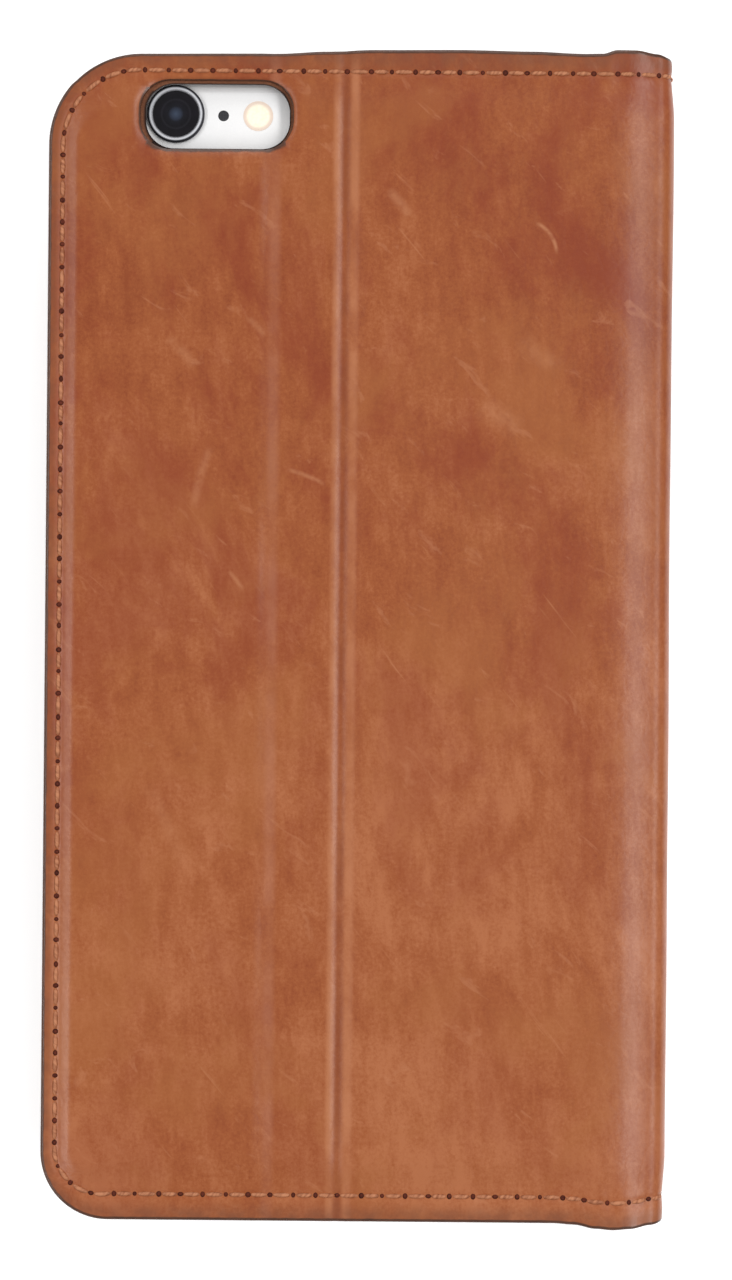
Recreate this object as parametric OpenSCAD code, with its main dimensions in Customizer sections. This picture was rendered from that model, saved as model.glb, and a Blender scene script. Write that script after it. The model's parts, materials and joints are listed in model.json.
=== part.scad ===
// Phone wallet case: a leather book cover that closes round a phone held in a plastic cradle.
// The closed case lies on its front cover. +X points to the spine, +Y to the top of the phone and
// +Z out of the back cover. The origin is the middle of the footprint.

/* [Case] */
// Width of the closed case, from the sewn free edge to the outside of the spine
case_w = 88; // [86.5:0.5:92]
// Height of the two covers
cover_h = 163.8; // [163.4:0.2:165]
// Height of the spine, which stands a little past the covers at both ends
spine_h = 165.8; // [165.4:0.2:168]
// Thickness of the closed case
case_t = 16.5; // [16.5:0.1:18]
// Corner radius of the covers at the bottom of the free edge
corner_r = 9.5; // [8:0.5:11]
// Corner radius of the covers at the top of the free edge
top_corner_r = 13; // [12:0.5:14]
// Outer radius of the leather where a cover turns into the spine
spine_r = 4; // [3.6:0.1:4.4]

/* [Leather and lining] */
// Thickness of the outer leather
leather_t = 1.1; // [0.9:0.1:1.2]
// Thickness of the stiffening board in the covers
board_t = 0.6; // [0.4:0.1:0.7]
// Thickness of the board in the spine
spine_board_t = 0.4; // [0.3:0.05:0.5]
// Thickness of the lining of the covers
lining_t = 0.4; // [0.3:0.05:0.5]
// Thickness of the lining of the spine
spine_lining_t = 0.3; // [0.2:0.05:0.35]
// Width of the flat sewn rim along the free edge
rim_side = 3.4; // [3.2:0.1:4]
// Width of the flat sewn rim along the top and bottom
rim_end = 4.8; // [4.6:0.1:5.5]

/* [Stitching] */
// Distance of the stitch row from the free edge
row_side = 2; // [1.8:0.1:2.4]
// Distance of the stitch row from the bottom edge
row_bottom = 3.7; // [3:0.1:3.9]
// Distance of the stitch row from the top edge
row_top = 2.5; // [2:0.1:3]
// Width of the thread
thread_w = 0.5; // [0.4:0.05:0.7]
// Depth of the groove that the thread lies in
thread_t = 0.3; // [0.2:0.05:0.4]

/* [Stand folds] */
// Distance of the main fold from the free edge
fold_from_edge = 41.3; // [40:0.1:43]
// Width of the strip between the two folds
strip_w = 10.1; // [9:0.1:11]
// Gap between the stiff panels at a fold
fold_gap = 0.3; // [0.3:0.05:0.5]

/* [Pockets] */
// Thickness of the pocket leather
pocket_t = 0.5; // [0.4:0.05:0.5]
// Thickness of the sewn seam that holds a pocket off the layer below
seam_t = 0.25; // [0.15:0.05:0.25]
// Width of the sewn seam round a pocket
seam_w = 3; // [2:0.5:4]
// Height of the card pockets, a card's 85.6 mm and two seams
card_pocket_h = 93; // [92:1:98]
// Depth of the topmost card pocket
card_pocket_w = 46; // [44:1:48]
// Step from one card pocket's mouth to the next
card_step = 8; // [7:0.5:8]

/* [Phone] */
// Width of the phone
phone_w = 77.8; // [77.4:0.1:78]
// Height of the phone
phone_h = 158; // [157:0.5:158.5]
// Thickness of the phone
phone_t = 7.1; // [7:0.1:7.3]
// Corner radius of the phone
phone_corner_r = 9.5; // [8.5:0.5:10]
// Distance of the phone's middle above the case's middle
phone_y = 1; // [0.8:0.1:1.2]
// Wall thickness of the cradle's sides
cradle_side_t = 0.9; // [0.8:0.1:1]
// Thickness of the cradle's back
cradle_back_t = 1; // [0.8:0.1:1.1]

/* [Hidden] */

eps = 0.01;
far = 200;

leather_colour = [0.64, 0.38, 0.25];
board_colour = [0.55, 0.52, 0.48];
lining_colour = [0.55, 0.36, 0.25];
thread_colour = [0.7, 0.44, 0.28];
shell_colour = [0.1, 0.1, 0.11];
metal_colour = [0.82, 0.82, 0.84];
glass_colour = [0.04, 0.04, 0.05];

// Places along X
free_x = -case_w / 2;
spine_x = case_w / 2;
arc_x = spine_x - spine_r;
hinge_gap = 1.4;
hinge_gap_x = arc_x - hinge_gap;
tab_run = 3.5;
tab_flat = 3.5;
tab_x = arc_x - tab_flat - tab_run;
plate_x = tab_x + tab_run + 1;
fold_x = free_x + fold_from_edge;
strip_x = fold_x - strip_w;

// Half the gap between a cover's leather and the spine's, in degrees round the rounded corner
hinge_half_gap_deg = 2;

// Heights measured down from a cover's outer face
rim_drop = board_t;
panel_t = leather_t + board_t;
cover_t = panel_t + lining_t;

// Edges of the board, inside the leather's raised field
board_wall = 0.8;
spine_board_wall = 1.1;
lining_inset = 0.3;

// Camera window through the back cover and the cradle
window_x = [-31.2, -9.8];
window_y = [68.3, 78.1];
window_r = 4.2;
lining_window_grow = 0.3;
cradle_window_grow = 0.8;

// Heights of the closed stack, from the floor up
pad_t = 0.3;
cradle_z1 = case_t - cover_t - pad_t;
phone_z1 = cradle_z1 - cradle_back_t;
phone_z0 = phone_z1 - phone_t;
lip_t = 0.5;
cradle_z0 = phone_z0 - lip_t;

// Places of the cradle and the phone
spine_gap = 0.3;
phone_clear = 0.15;
spine_inner_x = spine_x - leather_t - spine_board_t - spine_lining_t;
cradle_x1 = spine_inner_x - spine_gap;
phone_x = cradle_x1 - cradle_side_t - phone_clear - phone_w / 2;
phone_x0 = phone_x - phone_w / 2;
phone_x1 = phone_x + phone_w / 2;
phone_y0 = phone_y - phone_h / 2;
phone_y1 = phone_y + phone_h / 2;
cradle_w = phone_w + 2 * (phone_clear + cradle_side_t);
cradle_h = phone_h + 2 * (phone_clear + cradle_side_t);
cradle_r = phone_corner_r + phone_clear + cradle_side_t;
lip_over = 1.2;
lip_reach = 17;
low_wall_z = phone_z0 + 2;
side_gap_below_back = 0.8;
cradle_edge_r = 1.6;
cradle_chamfer = 0.3;
pad_margin = 4;

// Phone details
front_edge_r = 1.6;
back_edge_r = 3.2;
glass_proud = 0.2;
glass_t = 0.6;
glass_inset = 1.65;
glass_clear = 0.05;
screen_t = 0.3;
screen_w = 68.4;
screen_h = 121.6;
home_r = 5.45;
home_t = 1.2;
home_clear = 0.1;
home_y = phone_y0 + 9.4;
earpiece_w = 11;
earpiece_h = 1.4;
earpiece_y = phone_y1 - 8.6;
earpiece_sunk = 0.15;
home_dish_r = 60;
home_dish_depth = 0.2;
home_below_glass = 0.05;
camera_at = [phone_x0 + 10.6, phone_y1 - 6.35];
camera_r = 4.05;
camera_lens_r = 3.2;
camera_proud = 0.7;
camera_depth = 3;
ring_depth = 1;
ring_chamfer = 0.25;
lens_z = phone_z1 + 0.1;
lens_t = 0.3;
mic_at = camera_at + [6.7, -0.15];
mic_r = 0.77;
flash_at = camera_at + [11.6, -0.15];
flash_r = 2.1;
flash_proud = 0.05;
mic_sunk = 0.15;
small_part_depth = 0.8;

// Each step of the camera's barrel: inner radius, and depth below the phone's back
barrel_step_r = [2.5, 1.7, 1];
barrel_step_z = [0.4, 1.1, 2];
barrel_bevel = 0.3;

// Side buttons: middle along Y, length along Y, height along Z
button_z = (phone_z0 + phone_z1) / 2;
button_proud = 0.45;
button_root = 0.9;
button_h = 2;
button_clear = 0.1;
button_travel = 0.25;
long_button = 10;
power_y = 42;
volume_up_y = 42;
volume_down_y = 28.5;
mute_y = 55;
mute_l = 4.4;
mute_h = 1.6;
mute_travel = 1.2;
mute_proud = 0.25;
button_gap_margin = 3.2;

// Bottom port
port_w = 9;
port_h = 3.2;
port_depth = 6;
port_wall = 0.35;
tongue_w = 6;
tongue_t = 0.7;
port_gap_w = 44;
port_gap_h = 5.2;
speaker_hole_r = 0.75;
speaker_pitch = 2.6;
speaker_first = 9;
speaker_count = 5;
speaker_depth = 2;

// Pockets
pocket_inset = 1;
cash_mouth_x = 31;
thumb_r = 9;
card_x0 = free_x + 2.2;
card_corner_r = 2;
pocket_row = 1.5;
pocket_thread_t = 0.15;
pocket_base = cover_t;

// Points of an arc about c, from angle a0 to angle a1
function arc(c, r, a0, a1, n = 12) =
  [for (i = [0:n]) c + r * [cos(a0 + (a1 - a0) * i / n), sin(a0 + (a1 - a0) * i / n)]];

// Outline of a cover, moved in by side at the free edge, by ends[0] at the bottom and ends[1] at the
// top, and by tab_in at the taller part beside the spine
function cover_outline(side, ends, tab_in, x1) =
  let (
    x0 = free_x + side,
    y0 = ends[0] - cover_h / 2,
    y1 = cover_h / 2 - ends[1],
    yt = spine_h / 2 - tab_in,
    inset = (side + (ends[0] + ends[1]) / 2) / 2,
    r0 = corner_r - inset,
    r1 = top_corner_r - inset,
    tab = x1 > tab_x + tab_run
  )
  concat(
    arc([x0 + r0, y0 + r0], r0, 180, 270),
    tab ? [[tab_x, y0], [tab_x + tab_run, -yt], [x1, -yt], [x1, yt], [tab_x + tab_run, yt], [tab_x, y1]]
        : [[x1, y0], [x1, y1]],
    arc([x0 + r1, y1 - r1], r1, 90, 180)
  );

// A plate with a cover's outline, between two heights
module cover_plate(z0, z1, side, ends, tab_in, x1) {
  translate([0, 0, z0]) linear_extrude(z1 - z0) polygon(cover_outline(side, ends, tab_in, x1));
}

// Side view of the leather from x0 to the corner and round it, from the vertical down to angle a0.
// X runs across the cover, Y is the height, and the outer face is at y = 0.
function corner_profile(x0, a0) = concat(
  [[x0, 0]],
  arc([arc_x, -spine_r], spine_r, 90, a0, 10),
  arc([arc_x, -spine_r], spine_r - leather_t, a0, 90, 10),
  [[x0, -leather_t]]
);

// Side view of the spine's leather, with its outer face at x = spine_x and its two rounded corners
function spine_profile(a1) = concat(
  arc([arc_x, case_t - spine_r], spine_r - leather_t, a1, 0, 10),
  arc([arc_x, spine_r], spine_r - leather_t, 0, -a1, 10),
  arc([arc_x, spine_r], spine_r, -a1, 0, 10),
  arc([arc_x, case_t - spine_r], spine_r, 0, a1, 10)
);

// A side view drawn in X and Y, stood up and run along the whole spine
module along_spine() {
  rotate([90, 0, 0]) linear_extrude(spine_h, center = true) children();
}

// Everything between two places along X
module slab(x0, x1) {
  translate([x0, -far, -far]) cube([x1 - x0, 2 * far, 2 * far]);
}

// A block with rounded upright corners
module rounded_block(x, y, z, r) {
  translate([x[0] + r, y[0], z[0]]) cube([x[1] - x[0] - 2 * r, y[1] - y[0], z[1] - z[0]]);
  translate([x[0], y[0] + r, z[0]]) cube([x[1] - x[0], y[1] - y[0] - 2 * r, z[1] - z[0]]);
  for (cx = [x[0] + r, x[1] - r], cy = [y[0] + r, y[1] - r])
    translate([cx, cy, z[0]]) cylinder(r = r, h = z[1] - z[0], $fn = 64);
}

// A slab with rounded upright corners whose rim has the profile given as the child: X outwards from
// the corner's axis, Y up
module swept_slab(w, h, corner, z0, z1) {
  side_x = w / 2 - corner;
  side_y = h / 2 - corner;
  translate([-side_x, -side_y, z0]) cube([2 * side_x, 2 * side_y, z1 - z0]);
  for (i = [0:3]) {
    across = i % 2 == 0 ? side_x : side_y;
    along = i % 2 == 0 ? side_y : side_x;
    rotate([0, 0, 90 * i]) translate([across, 0, 0]) rotate([90, 0, 0])
      linear_extrude(2 * along, center = true) children();
    rotate([0, 0, 90 * i]) translate([across, along, 0])
      rotate_extrude(angle = 90, $fn = 96) children();
  }
}

// A plain rim, for swept_slab
module plain_rim(corner, z0, z1) {
  translate([0, z0]) square([corner, z1 - z0]);
}

// ---- Cover layers, drawn with the outer face at z = 0 and the inside below ----

module window_cut(grow) {
  rounded_block(
    window_x + grow * [-1, 1], window_y + grow * [-1, 1], [-far, far], window_r + grow);
}

// The board's own space, from depth z0 to z1
module board_space(z0, z1, x1) {
  end_wall = rim_end + board_wall;
  cover_plate(z0, z1, rim_side + board_wall, [end_wall, end_wall], end_wall + (spine_h - cover_h) / 2, x1);
}

// The U of the stitch row along the rim, and its two short runs over the taller part by the spine
module thread_row(z0, z1) {
  half = thread_w / 2;
  y = [row_bottom - cover_h / 2, cover_h / 2 - row_top];
  translate([0, 0, -rim_drop]) difference() {
    cover_plate(z0, z1, row_side - half, [row_bottom - half, row_top - half], 0, tab_x);
    cover_plate(z0 - 1, z1 + 1, row_side + half, [row_bottom + half, row_top + half], 0, tab_x + 1);
  }
  for (row_y = y)
    translate([tab_x + tab_run, row_y - half, z0])
      cube([arc_x - tab_x - tab_run, thread_w, z1 - z0]);
}

module cover_leather() {
  difference() {
    union() {
      cover_plate(-panel_t, -rim_drop, 0, [0, 0], 0, plate_x);
      cover_plate(-panel_t, 0, rim_side, [rim_end, rim_end], 0, plate_x);
      along_spine() polygon(corner_profile(plate_x, 45 + hinge_half_gap_deg));
    }
    board_space(-panel_t - 1, -leather_t, plate_x + 1);
    thread_row(-thread_t, 1);
  }
}

module cover_board() {
  board_space(-panel_t, -leather_t, hinge_gap_x);
}

module cover_lining() {
  cover_plate(-cover_t, -panel_t, lining_inset, [lining_inset, lining_inset], lining_inset, hinge_gap_x);
}

module cover_thread() {
  thread_row(-thread_t, 0);
}

// Lays a layer down as the front cover, outer face on the floor
module as_front() {
  mirror([0, 0, 1]) children();
}

// The part of the back cover between two places along X
module back_part(x0, x1) {
  translate([0, 0, case_t]) intersection() {
    children();
    slab(x0, x1);
  }
}

// The three panels of the back cover: the camera side flap, the strip and the spine side panel
module flap_part() {
  back_part(-far, strip_x - fold_gap / 2) children();
}

module strip_part() {
  back_part(strip_x + fold_gap / 2, fold_x - fold_gap / 2) children();
}

module spine_side_part() {
  back_part(fold_x + fold_gap / 2, far) children();
}

module with_window(grow) {
  difference() {
    children();
    window_cut(grow);
  }
}

// ---- Front cover ----

module front_leather() {
  color(leather_colour) as_front() cover_leather();
}

module front_board() {
  color(board_colour) as_front() cover_board();
}

module front_lining() {
  color(lining_colour) as_front() cover_lining();
}

module front_thread() {
  color(thread_colour) as_front() cover_thread();
}

// A pocket sheet with a seam under its three closed sides. Its mouth is at x1, and r is the radius of
// its bottom and top corners.
module pocket(x0, x1, half_h, z, r) {
  difference() {
    translate([0, 0, z]) linear_extrude(seam_t + pocket_t) pocket_plan(x0, x1, half_h, r);
    translate([0, 0, z - eps]) linear_extrude(seam_t + eps)
      pocket_plan(x0 + seam_w, x1 + 1, half_h - seam_w, [for (v = r) max(v - seam_w, 1)]);
  }
}

module pocket_plan(x0, x1, half_h, r) {
  polygon(concat(
    arc([x0 + r[0], -half_h + r[0]], r[0], 180, 270, 8),
    [[x1, -half_h], [x1, half_h]],
    arc([x0 + r[1], half_h - r[1]], r[1], 90, 180, 8)
  ));
}

function card_mouth_x(i) = card_x0 + card_pocket_w + (3 - i) * card_step;
function card_pocket_z(i) = pocket_base + i * (seam_t + pocket_t);

module cash_pocket_panel() {
  color(lining_colour) difference() {
    pocket(free_x + pocket_inset, cash_mouth_x, cover_h / 2 - pocket_inset, pocket_base,
      [corner_r - pocket_inset, top_corner_r - pocket_inset]);
    translate([cash_mouth_x, 0, 0]) cylinder(r = thumb_r, h = case_t, $fn = 96);
  }
}

module card_pocket(i) {
  color(leather_colour)
    pocket(card_x0, card_mouth_x(i), card_pocket_h / 2, card_pocket_z(i), [card_corner_r, card_corner_r]);
}

module card_pocket_1() {
  card_pocket(1);
}

module card_pocket_2() {
  card_pocket(2);
}

module card_pocket_3() {
  card_pocket(3);
}

// Rows along the closed ends of the card pockets, stepping down with them, and one row down the side
module pocket_thread() {
  row_y = card_pocket_h / 2 - pocket_row;
  color(thread_colour) {
    for (i = [1:3], side = [-1, 1]) {
      x0 = i == 3 ? card_x0 + pocket_row + thread_w : card_mouth_x(i + 1) + thread_w;
      x1 = card_mouth_x(i) - pocket_row;
      z = card_pocket_z(i) + seam_t + pocket_t;
      translate([x0, side * row_y - thread_w / 2, z]) cube([x1 - x0, thread_w, pocket_thread_t]);
    }
    translate([card_x0 + pocket_row - thread_w / 2, -row_y, card_pocket_z(4)])
      cube([thread_w, 2 * row_y, pocket_thread_t]);
  }
}

// ---- Spine ----

module spine_leather() {
  color(leather_colour) difference() {
    along_spine() polygon(spine_profile(45 - hinge_half_gap_deg));
    spine_rows(1);
  }
}

module spine_board() {
  x = spine_x - leather_t - spine_board_t;
  color(board_colour) translate([x, spine_board_wall - spine_h / 2, spine_r])
    cube([spine_board_t, spine_h - 2 * spine_board_wall, case_t - 2 * spine_r]);
}

module spine_lining() {
  color(lining_colour) translate([spine_inner_x, lining_inset - spine_h / 2, spine_r])
    cube([spine_lining_t, spine_h - 2 * lining_inset, case_t - 2 * spine_r]);
}

// The stitch row where it crosses the outside of the spine
module spine_rows(over) {
  for (y = [row_bottom - cover_h / 2, cover_h / 2 - row_top])
    translate([spine_x - thread_t, y - thread_w / 2, spine_r])
      cube([thread_t + over, thread_w, case_t - 2 * spine_r]);
}

module spine_thread() {
  color(thread_colour) spine_rows(0);
}

// ---- Back cover ----

module back_leather() {
  color(leather_colour) spine_side_part() cover_leather();
}

module back_board() {
  color(board_colour) spine_side_part() cover_board();
}

module back_lining() {
  color(lining_colour) spine_side_part() cover_lining();
}

module back_thread() {
  color(thread_colour) spine_side_part() cover_thread();
}

module strip_leather() {
  color(leather_colour) strip_part() with_window(0) cover_leather();
}

module strip_board() {
  color(board_colour) strip_part() with_window(lining_window_grow) cover_board();
}

module strip_lining() {
  color(lining_colour) strip_part() with_window(lining_window_grow) cover_lining();
}

module strip_thread() {
  color(thread_colour) strip_part() cover_thread();
}

module flap_leather() {
  color(leather_colour) flap_part() with_window(0) cover_leather();
}

module flap_board() {
  color(board_colour) flap_part() with_window(lining_window_grow) cover_board();
}

module flap_lining() {
  color(lining_colour) flap_part() with_window(lining_window_grow) cover_lining();
}

module flap_thread() {
  color(thread_colour) flap_part() cover_thread();
}

// ---- Cradle ----

function cradle_profile() = concat(
  [[0, cradle_z0]],
  [[cradle_r - cradle_chamfer, cradle_z0], [cradle_r, cradle_z0 + cradle_chamfer]],
  arc([cradle_r - cradle_edge_r, cradle_z1 - cradle_edge_r], cradle_edge_r, 0, 90, 5),
  [[0, cradle_z1]]
);

// An opening in a side wall of the cradle, from y0 to y1
module side_gap(side, y0, y1) {
  x = side < 0 ? phone_x0 - cradle_side_t - 1 : phone_x1 - eps;
  translate([x, y0, cradle_z0 - 1])
    cube([cradle_side_t + 1 + eps, y1 - y0, phone_z1 - side_gap_below_back - cradle_z0 + 1]);
}

module cradle_shell() {
  cavity_r = phone_corner_r + phone_clear;
  cavity_w = phone_w + 2 * phone_clear;
  cavity_h = phone_h + 2 * phone_clear;
  mouth_r = cavity_r - lip_over;
  gap_reach = long_button / 2 + button_gap_margin;
  color(shell_colour) difference() {
    translate([phone_x, phone_y, 0])
      swept_slab(cradle_w, cradle_h, cradle_r, cradle_z0, cradle_z1) polygon(cradle_profile());
    translate([phone_x, phone_y, 0])
      swept_slab(cavity_w, cavity_h, cavity_r, phone_z0, phone_z1)
        plain_rim(cavity_r, phone_z0, phone_z1);
    translate([phone_x, phone_y, 0])
      swept_slab(cavity_w - 2 * lip_over, cavity_h - 2 * lip_over, mouth_r, cradle_z0 - 1, phone_z0)
        plain_rim(mouth_r, cradle_z0 - 1, phone_z0);
    // The lips and the high walls stay only round the corners
    translate([phone_x - cradle_w, phone_y0 + lip_reach, cradle_z0 - 1])
      cube([2 * cradle_w, phone_h - 2 * lip_reach, low_wall_z - cradle_z0 + 1]);
    translate([phone_x0 + lip_reach, phone_y - cradle_h, cradle_z0 - 1])
      cube([phone_w - 2 * lip_reach, 2 * cradle_h, low_wall_z - cradle_z0 + 1]);
    side_gap(-1, power_y - gap_reach, power_y + gap_reach);
    side_gap(1, volume_down_y - gap_reach, mute_y + mute_l / 2 + button_gap_margin);
    translate([phone_x - port_gap_w / 2, phone_y0 - cradle_side_t - 1, button_z - port_gap_h / 2])
      cube([port_gap_w, cradle_side_t + 1 + eps, port_gap_h]);
    window_cut(cradle_window_grow);
  }
}

module cradle_adhesive_pad() {
  color([0.85, 0.85, 0.8]) translate([fold_x + pad_margin, -cover_h / 2 + 2 * pad_margin, cradle_z1])
    cube([hinge_gap_x - fold_x - 2 * pad_margin, cover_h - 4 * pad_margin, pad_t]);
}

// ---- Phone ----

function housing_profile() =
  let (z0 = phone_z0 + glass_proud)
  concat(
    [[0, z0]],
    arc([phone_corner_r - front_edge_r, z0 + front_edge_r], front_edge_r, 270, 360, 5),
    arc([phone_corner_r - back_edge_r, phone_z1 - back_edge_r], back_edge_r, 0, 90, 7),
    [[0, phone_z1]]
  );

// A bar with round ends, length along Y, height along Z, from x0 to x1
module round_bar(x0, x1, y, z, length, height) {
  translate([x0, y - length / 2 + height / 2, z - height / 2]) cube([x1 - x0, length - height, height]);
  for (end = [-1, 1])
    translate([x0, y + end * (length - height) / 2, z]) rotate([0, 90, 0])
      cylinder(d = height, h = x1 - x0, $fn = 32);
}

// The slot of a side button in the housing
module button_slot(side, y, length, height, z) {
  depth = button_root + button_travel + button_clear;
  x = side < 0 ? phone_x0 : phone_x1;
  round_bar(x - depth - (side < 0 ? 1 - depth : 0), x + (side < 0 ? depth : 1), y, z,
    length + 2 * button_clear, height + 2 * button_clear);
}

module phone_glass_plate(z0, z1, grow) {
  r = phone_corner_r - glass_inset + grow;
  translate([phone_x, phone_y, 0])
    swept_slab(phone_w - 2 * glass_inset + 2 * grow, phone_h - 2 * glass_inset + 2 * grow, r, z0, z1)
      plain_rim(r, z0, z1);
}

module screen_block(z0, z1) {
  translate([phone_x - screen_w / 2, phone_y - screen_h / 2, z0]) cube([screen_w, screen_h, z1 - z0]);
}

module earpiece_bar(z0, z1) {
  translate([phone_x - (earpiece_w - earpiece_h) / 2, earpiece_y - earpiece_h / 2, z0])
    cube([earpiece_w - earpiece_h, earpiece_h, z1 - z0]);
  for (side = [-1, 1])
    translate([phone_x + side * (earpiece_w - earpiece_h) / 2, earpiece_y, z0])
      cylinder(d = earpiece_h, h = z1 - z0, $fn = 32);
}

// The port's rounded section, w wide and h high, from y0 to y1
module port_block(w, h, y0, y1) {
  translate([phone_x - (w - h) / 2, y0, button_z - h / 2]) cube([w - h, y1 - y0, h]);
  for (side = [-1, 1])
    translate([phone_x + side * (w - h) / 2, y1, button_z]) rotate([90, 0, 0])
      cylinder(d = h, h = y1 - y0, $fn = 32);
}

module phone_housing() {
  glass_z = phone_z0 + glass_t;
  small_z = phone_z1 - small_part_depth;
  color(metal_colour) difference() {
    translate([phone_x, phone_y, 0])
      swept_slab(phone_w, phone_h, phone_corner_r, phone_z0 + glass_proud, phone_z1)
        polygon(housing_profile());
    phone_glass_plate(phone_z0 - 1, glass_z, glass_clear);
    screen_block(glass_z - 1, glass_z + screen_t);
    translate([phone_x, home_y, glass_z - 1])
      cylinder(r = home_r + home_clear, h = 1 + home_t, $fn = 64);
    translate([camera_at[0], camera_at[1], phone_z1 - camera_depth])
      cylinder(r = camera_r, h = camera_depth + 1, $fn = 64);
    translate([mic_at[0], mic_at[1], small_z]) cylinder(r = mic_r, h = 2, $fn = 32);
    translate([flash_at[0], flash_at[1], small_z]) cylinder(r = flash_r, h = 2, $fn = 48);
    button_slot(-1, power_y, long_button, button_h, button_z);
    button_slot(1, volume_up_y, long_button, button_h, button_z);
    button_slot(1, volume_down_y, long_button, button_h, button_z);
    round_bar(phone_x1 - button_root - button_clear, phone_x1 + 1, mute_y, button_z,
      mute_l + 1, mute_h + mute_travel + 2 * button_clear);
    port_block(port_w, port_h, phone_y0 - 1, phone_y0 + port_depth);
    for (side = [-1, 1], i = [0:speaker_count - 1])
      translate([phone_x + side * (speaker_first + i * speaker_pitch), phone_y0 - 1, button_z])
        rotate([-90, 0, 0]) cylinder(r = speaker_hole_r, h = 1 + speaker_depth, $fn = 24);
  }
}

module phone_glass() {
  color(glass_colour) difference() {
    phone_glass_plate(phone_z0, phone_z0 + glass_t, 0);
    translate([phone_x, home_y, phone_z0 - 1]) cylinder(r = home_r + home_clear, h = 3, $fn = 64);
    earpiece_bar(phone_z0 - 1, phone_z0 + glass_t + 1);
  }
}

module phone_screen() {
  color([0.08, 0.08, 0.1]) screen_block(phone_z0 + glass_t, phone_z0 + glass_t + screen_t);
}

// A round button with a shallow dish in its face
module phone_home_button() {
  z0 = phone_z0 + home_below_glass;
  color([0.9, 0.9, 0.91]) difference() {
    translate([phone_x, home_y, z0]) cylinder(r = home_r, h = home_t, $fn = 64);
    translate([phone_x, home_y, z0 + home_dish_depth - home_dish_r]) sphere(r = home_dish_r, $fn = 240);
  }
}

module phone_earpiece() {
  color([0.15, 0.15, 0.16]) earpiece_bar(phone_z0 + earpiece_sunk, phone_z0 + glass_t);
}

module phone_camera_ring() {
  color([0.75, 0.75, 0.77]) translate([camera_at[0], camera_at[1], 0]) rotate_extrude($fn = 96)
    polygon([
      [camera_lens_r, phone_z1 - ring_depth],
      [camera_r, phone_z1 - ring_depth],
      [camera_r, phone_z1 + camera_proud - ring_chamfer],
      [camera_r - ring_chamfer, phone_z1 + camera_proud],
      [camera_lens_r + ring_chamfer, phone_z1 + camera_proud],
      [camera_lens_r, phone_z1 + camera_proud - ring_chamfer],
    ]);
}

// Stepped black tube behind the lens
module phone_camera_barrel() {
  base = phone_z1 - camera_depth;
  r = barrel_step_r;
  z = [for (depth = barrel_step_z) phone_z1 - depth];
  color([0.05, 0.05, 0.06]) translate([camera_at[0], camera_at[1], 0]) rotate_extrude($fn = 96)
    polygon([
      [0, base],
      [camera_r, base],
      [camera_r, phone_z1 - ring_depth],
      [camera_lens_r, phone_z1 - ring_depth],
      [camera_lens_r, lens_z],
      [r[0], lens_z],
      [r[0], z[0]],
      [r[1], z[0] - barrel_bevel],
      [r[1], z[1]],
      [r[2], z[1] - barrel_bevel],
      [r[2], z[2]],
      [0, z[2]],
    ]);
}

module phone_camera_lens() {
  color([0.1, 0.12, 0.2]) translate([camera_at[0], camera_at[1], lens_z])
    cylinder(r = camera_lens_r, h = lens_t, $fn = 96);
}

module phone_flash_lens() {
  color([0.95, 0.85, 0.6]) translate([flash_at[0], flash_at[1], phone_z1 - small_part_depth])
    cylinder(r = flash_r, h = small_part_depth + flash_proud, $fn = 48);
}

module phone_rear_mic() {
  color([0.1, 0.1, 0.1]) translate([mic_at[0], mic_at[1], phone_z1 - small_part_depth])
    cylinder(r = mic_r, h = small_part_depth - mic_sunk, $fn = 32);
}

module side_button(side, y) {
  color(metal_colour)
    if (side < 0)
      round_bar(phone_x0 - button_proud, phone_x0 + button_root, y, button_z, long_button, button_h);
    else
      round_bar(phone_x1 - button_root, phone_x1 + button_proud, y, button_z, long_button, button_h);
}

module phone_power_button() {
  side_button(-1, power_y);
}

module phone_volume_up() {
  side_button(1, volume_up_y);
}

module phone_volume_down() {
  side_button(1, volume_down_y);
}

module phone_mute_switch() {
  z = button_z - mute_travel / 2;
  color(metal_colour)
    round_bar(phone_x1 - button_root, phone_x1 + mute_proud, mute_y, z, mute_l, mute_h);
}

module phone_charge_port() {
  back_y = phone_y0 + port_depth;
  color([0.6, 0.6, 0.62]) {
    difference() {
      port_block(port_w, port_h, phone_y0, back_y);
      port_block(port_w - 2 * port_wall, port_h - 2 * port_wall, phone_y0 - 1, back_y - port_wall);
    }
    translate([phone_x - tongue_w / 2, phone_y0 + 1, button_z - tongue_t / 2])
      cube([tongue_w, port_depth - port_wall - 1, tongue_t]);
  }
}

front_leather();
front_board();
front_lining();
front_thread();
cash_pocket_panel();
card_pocket_1();
card_pocket_2();
card_pocket_3();
pocket_thread();
spine_leather();
spine_board();
spine_lining();
spine_thread();
back_leather();
back_board();
back_lining();
back_thread();
strip_leather();
strip_board();
strip_lining();
strip_thread();
flap_leather();
flap_board();
flap_lining();
flap_thread();
cradle_shell();
cradle_adhesive_pad();
phone_housing();
phone_glass();
phone_screen();
phone_home_button();
phone_earpiece();
phone_camera_ring();
phone_camera_barrel();
phone_camera_lens();
phone_flash_lens();
phone_rear_mic();
phone_power_button();
phone_volume_up();
phone_volume_down();
phone_mute_switch();
phone_charge_port();
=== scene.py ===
"""Looks for the phone wallet case: waxed leather covers, spine, stitching, pockets, lining and the phone.

Lengths are in millimetres until they go into a mesh. The covers lie flat in X and Y, and the spine is at +X.
On the leather, u is X on the flat and runs on round the spine, and y is Y.
"""

import json
import math
from functools import partial

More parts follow.
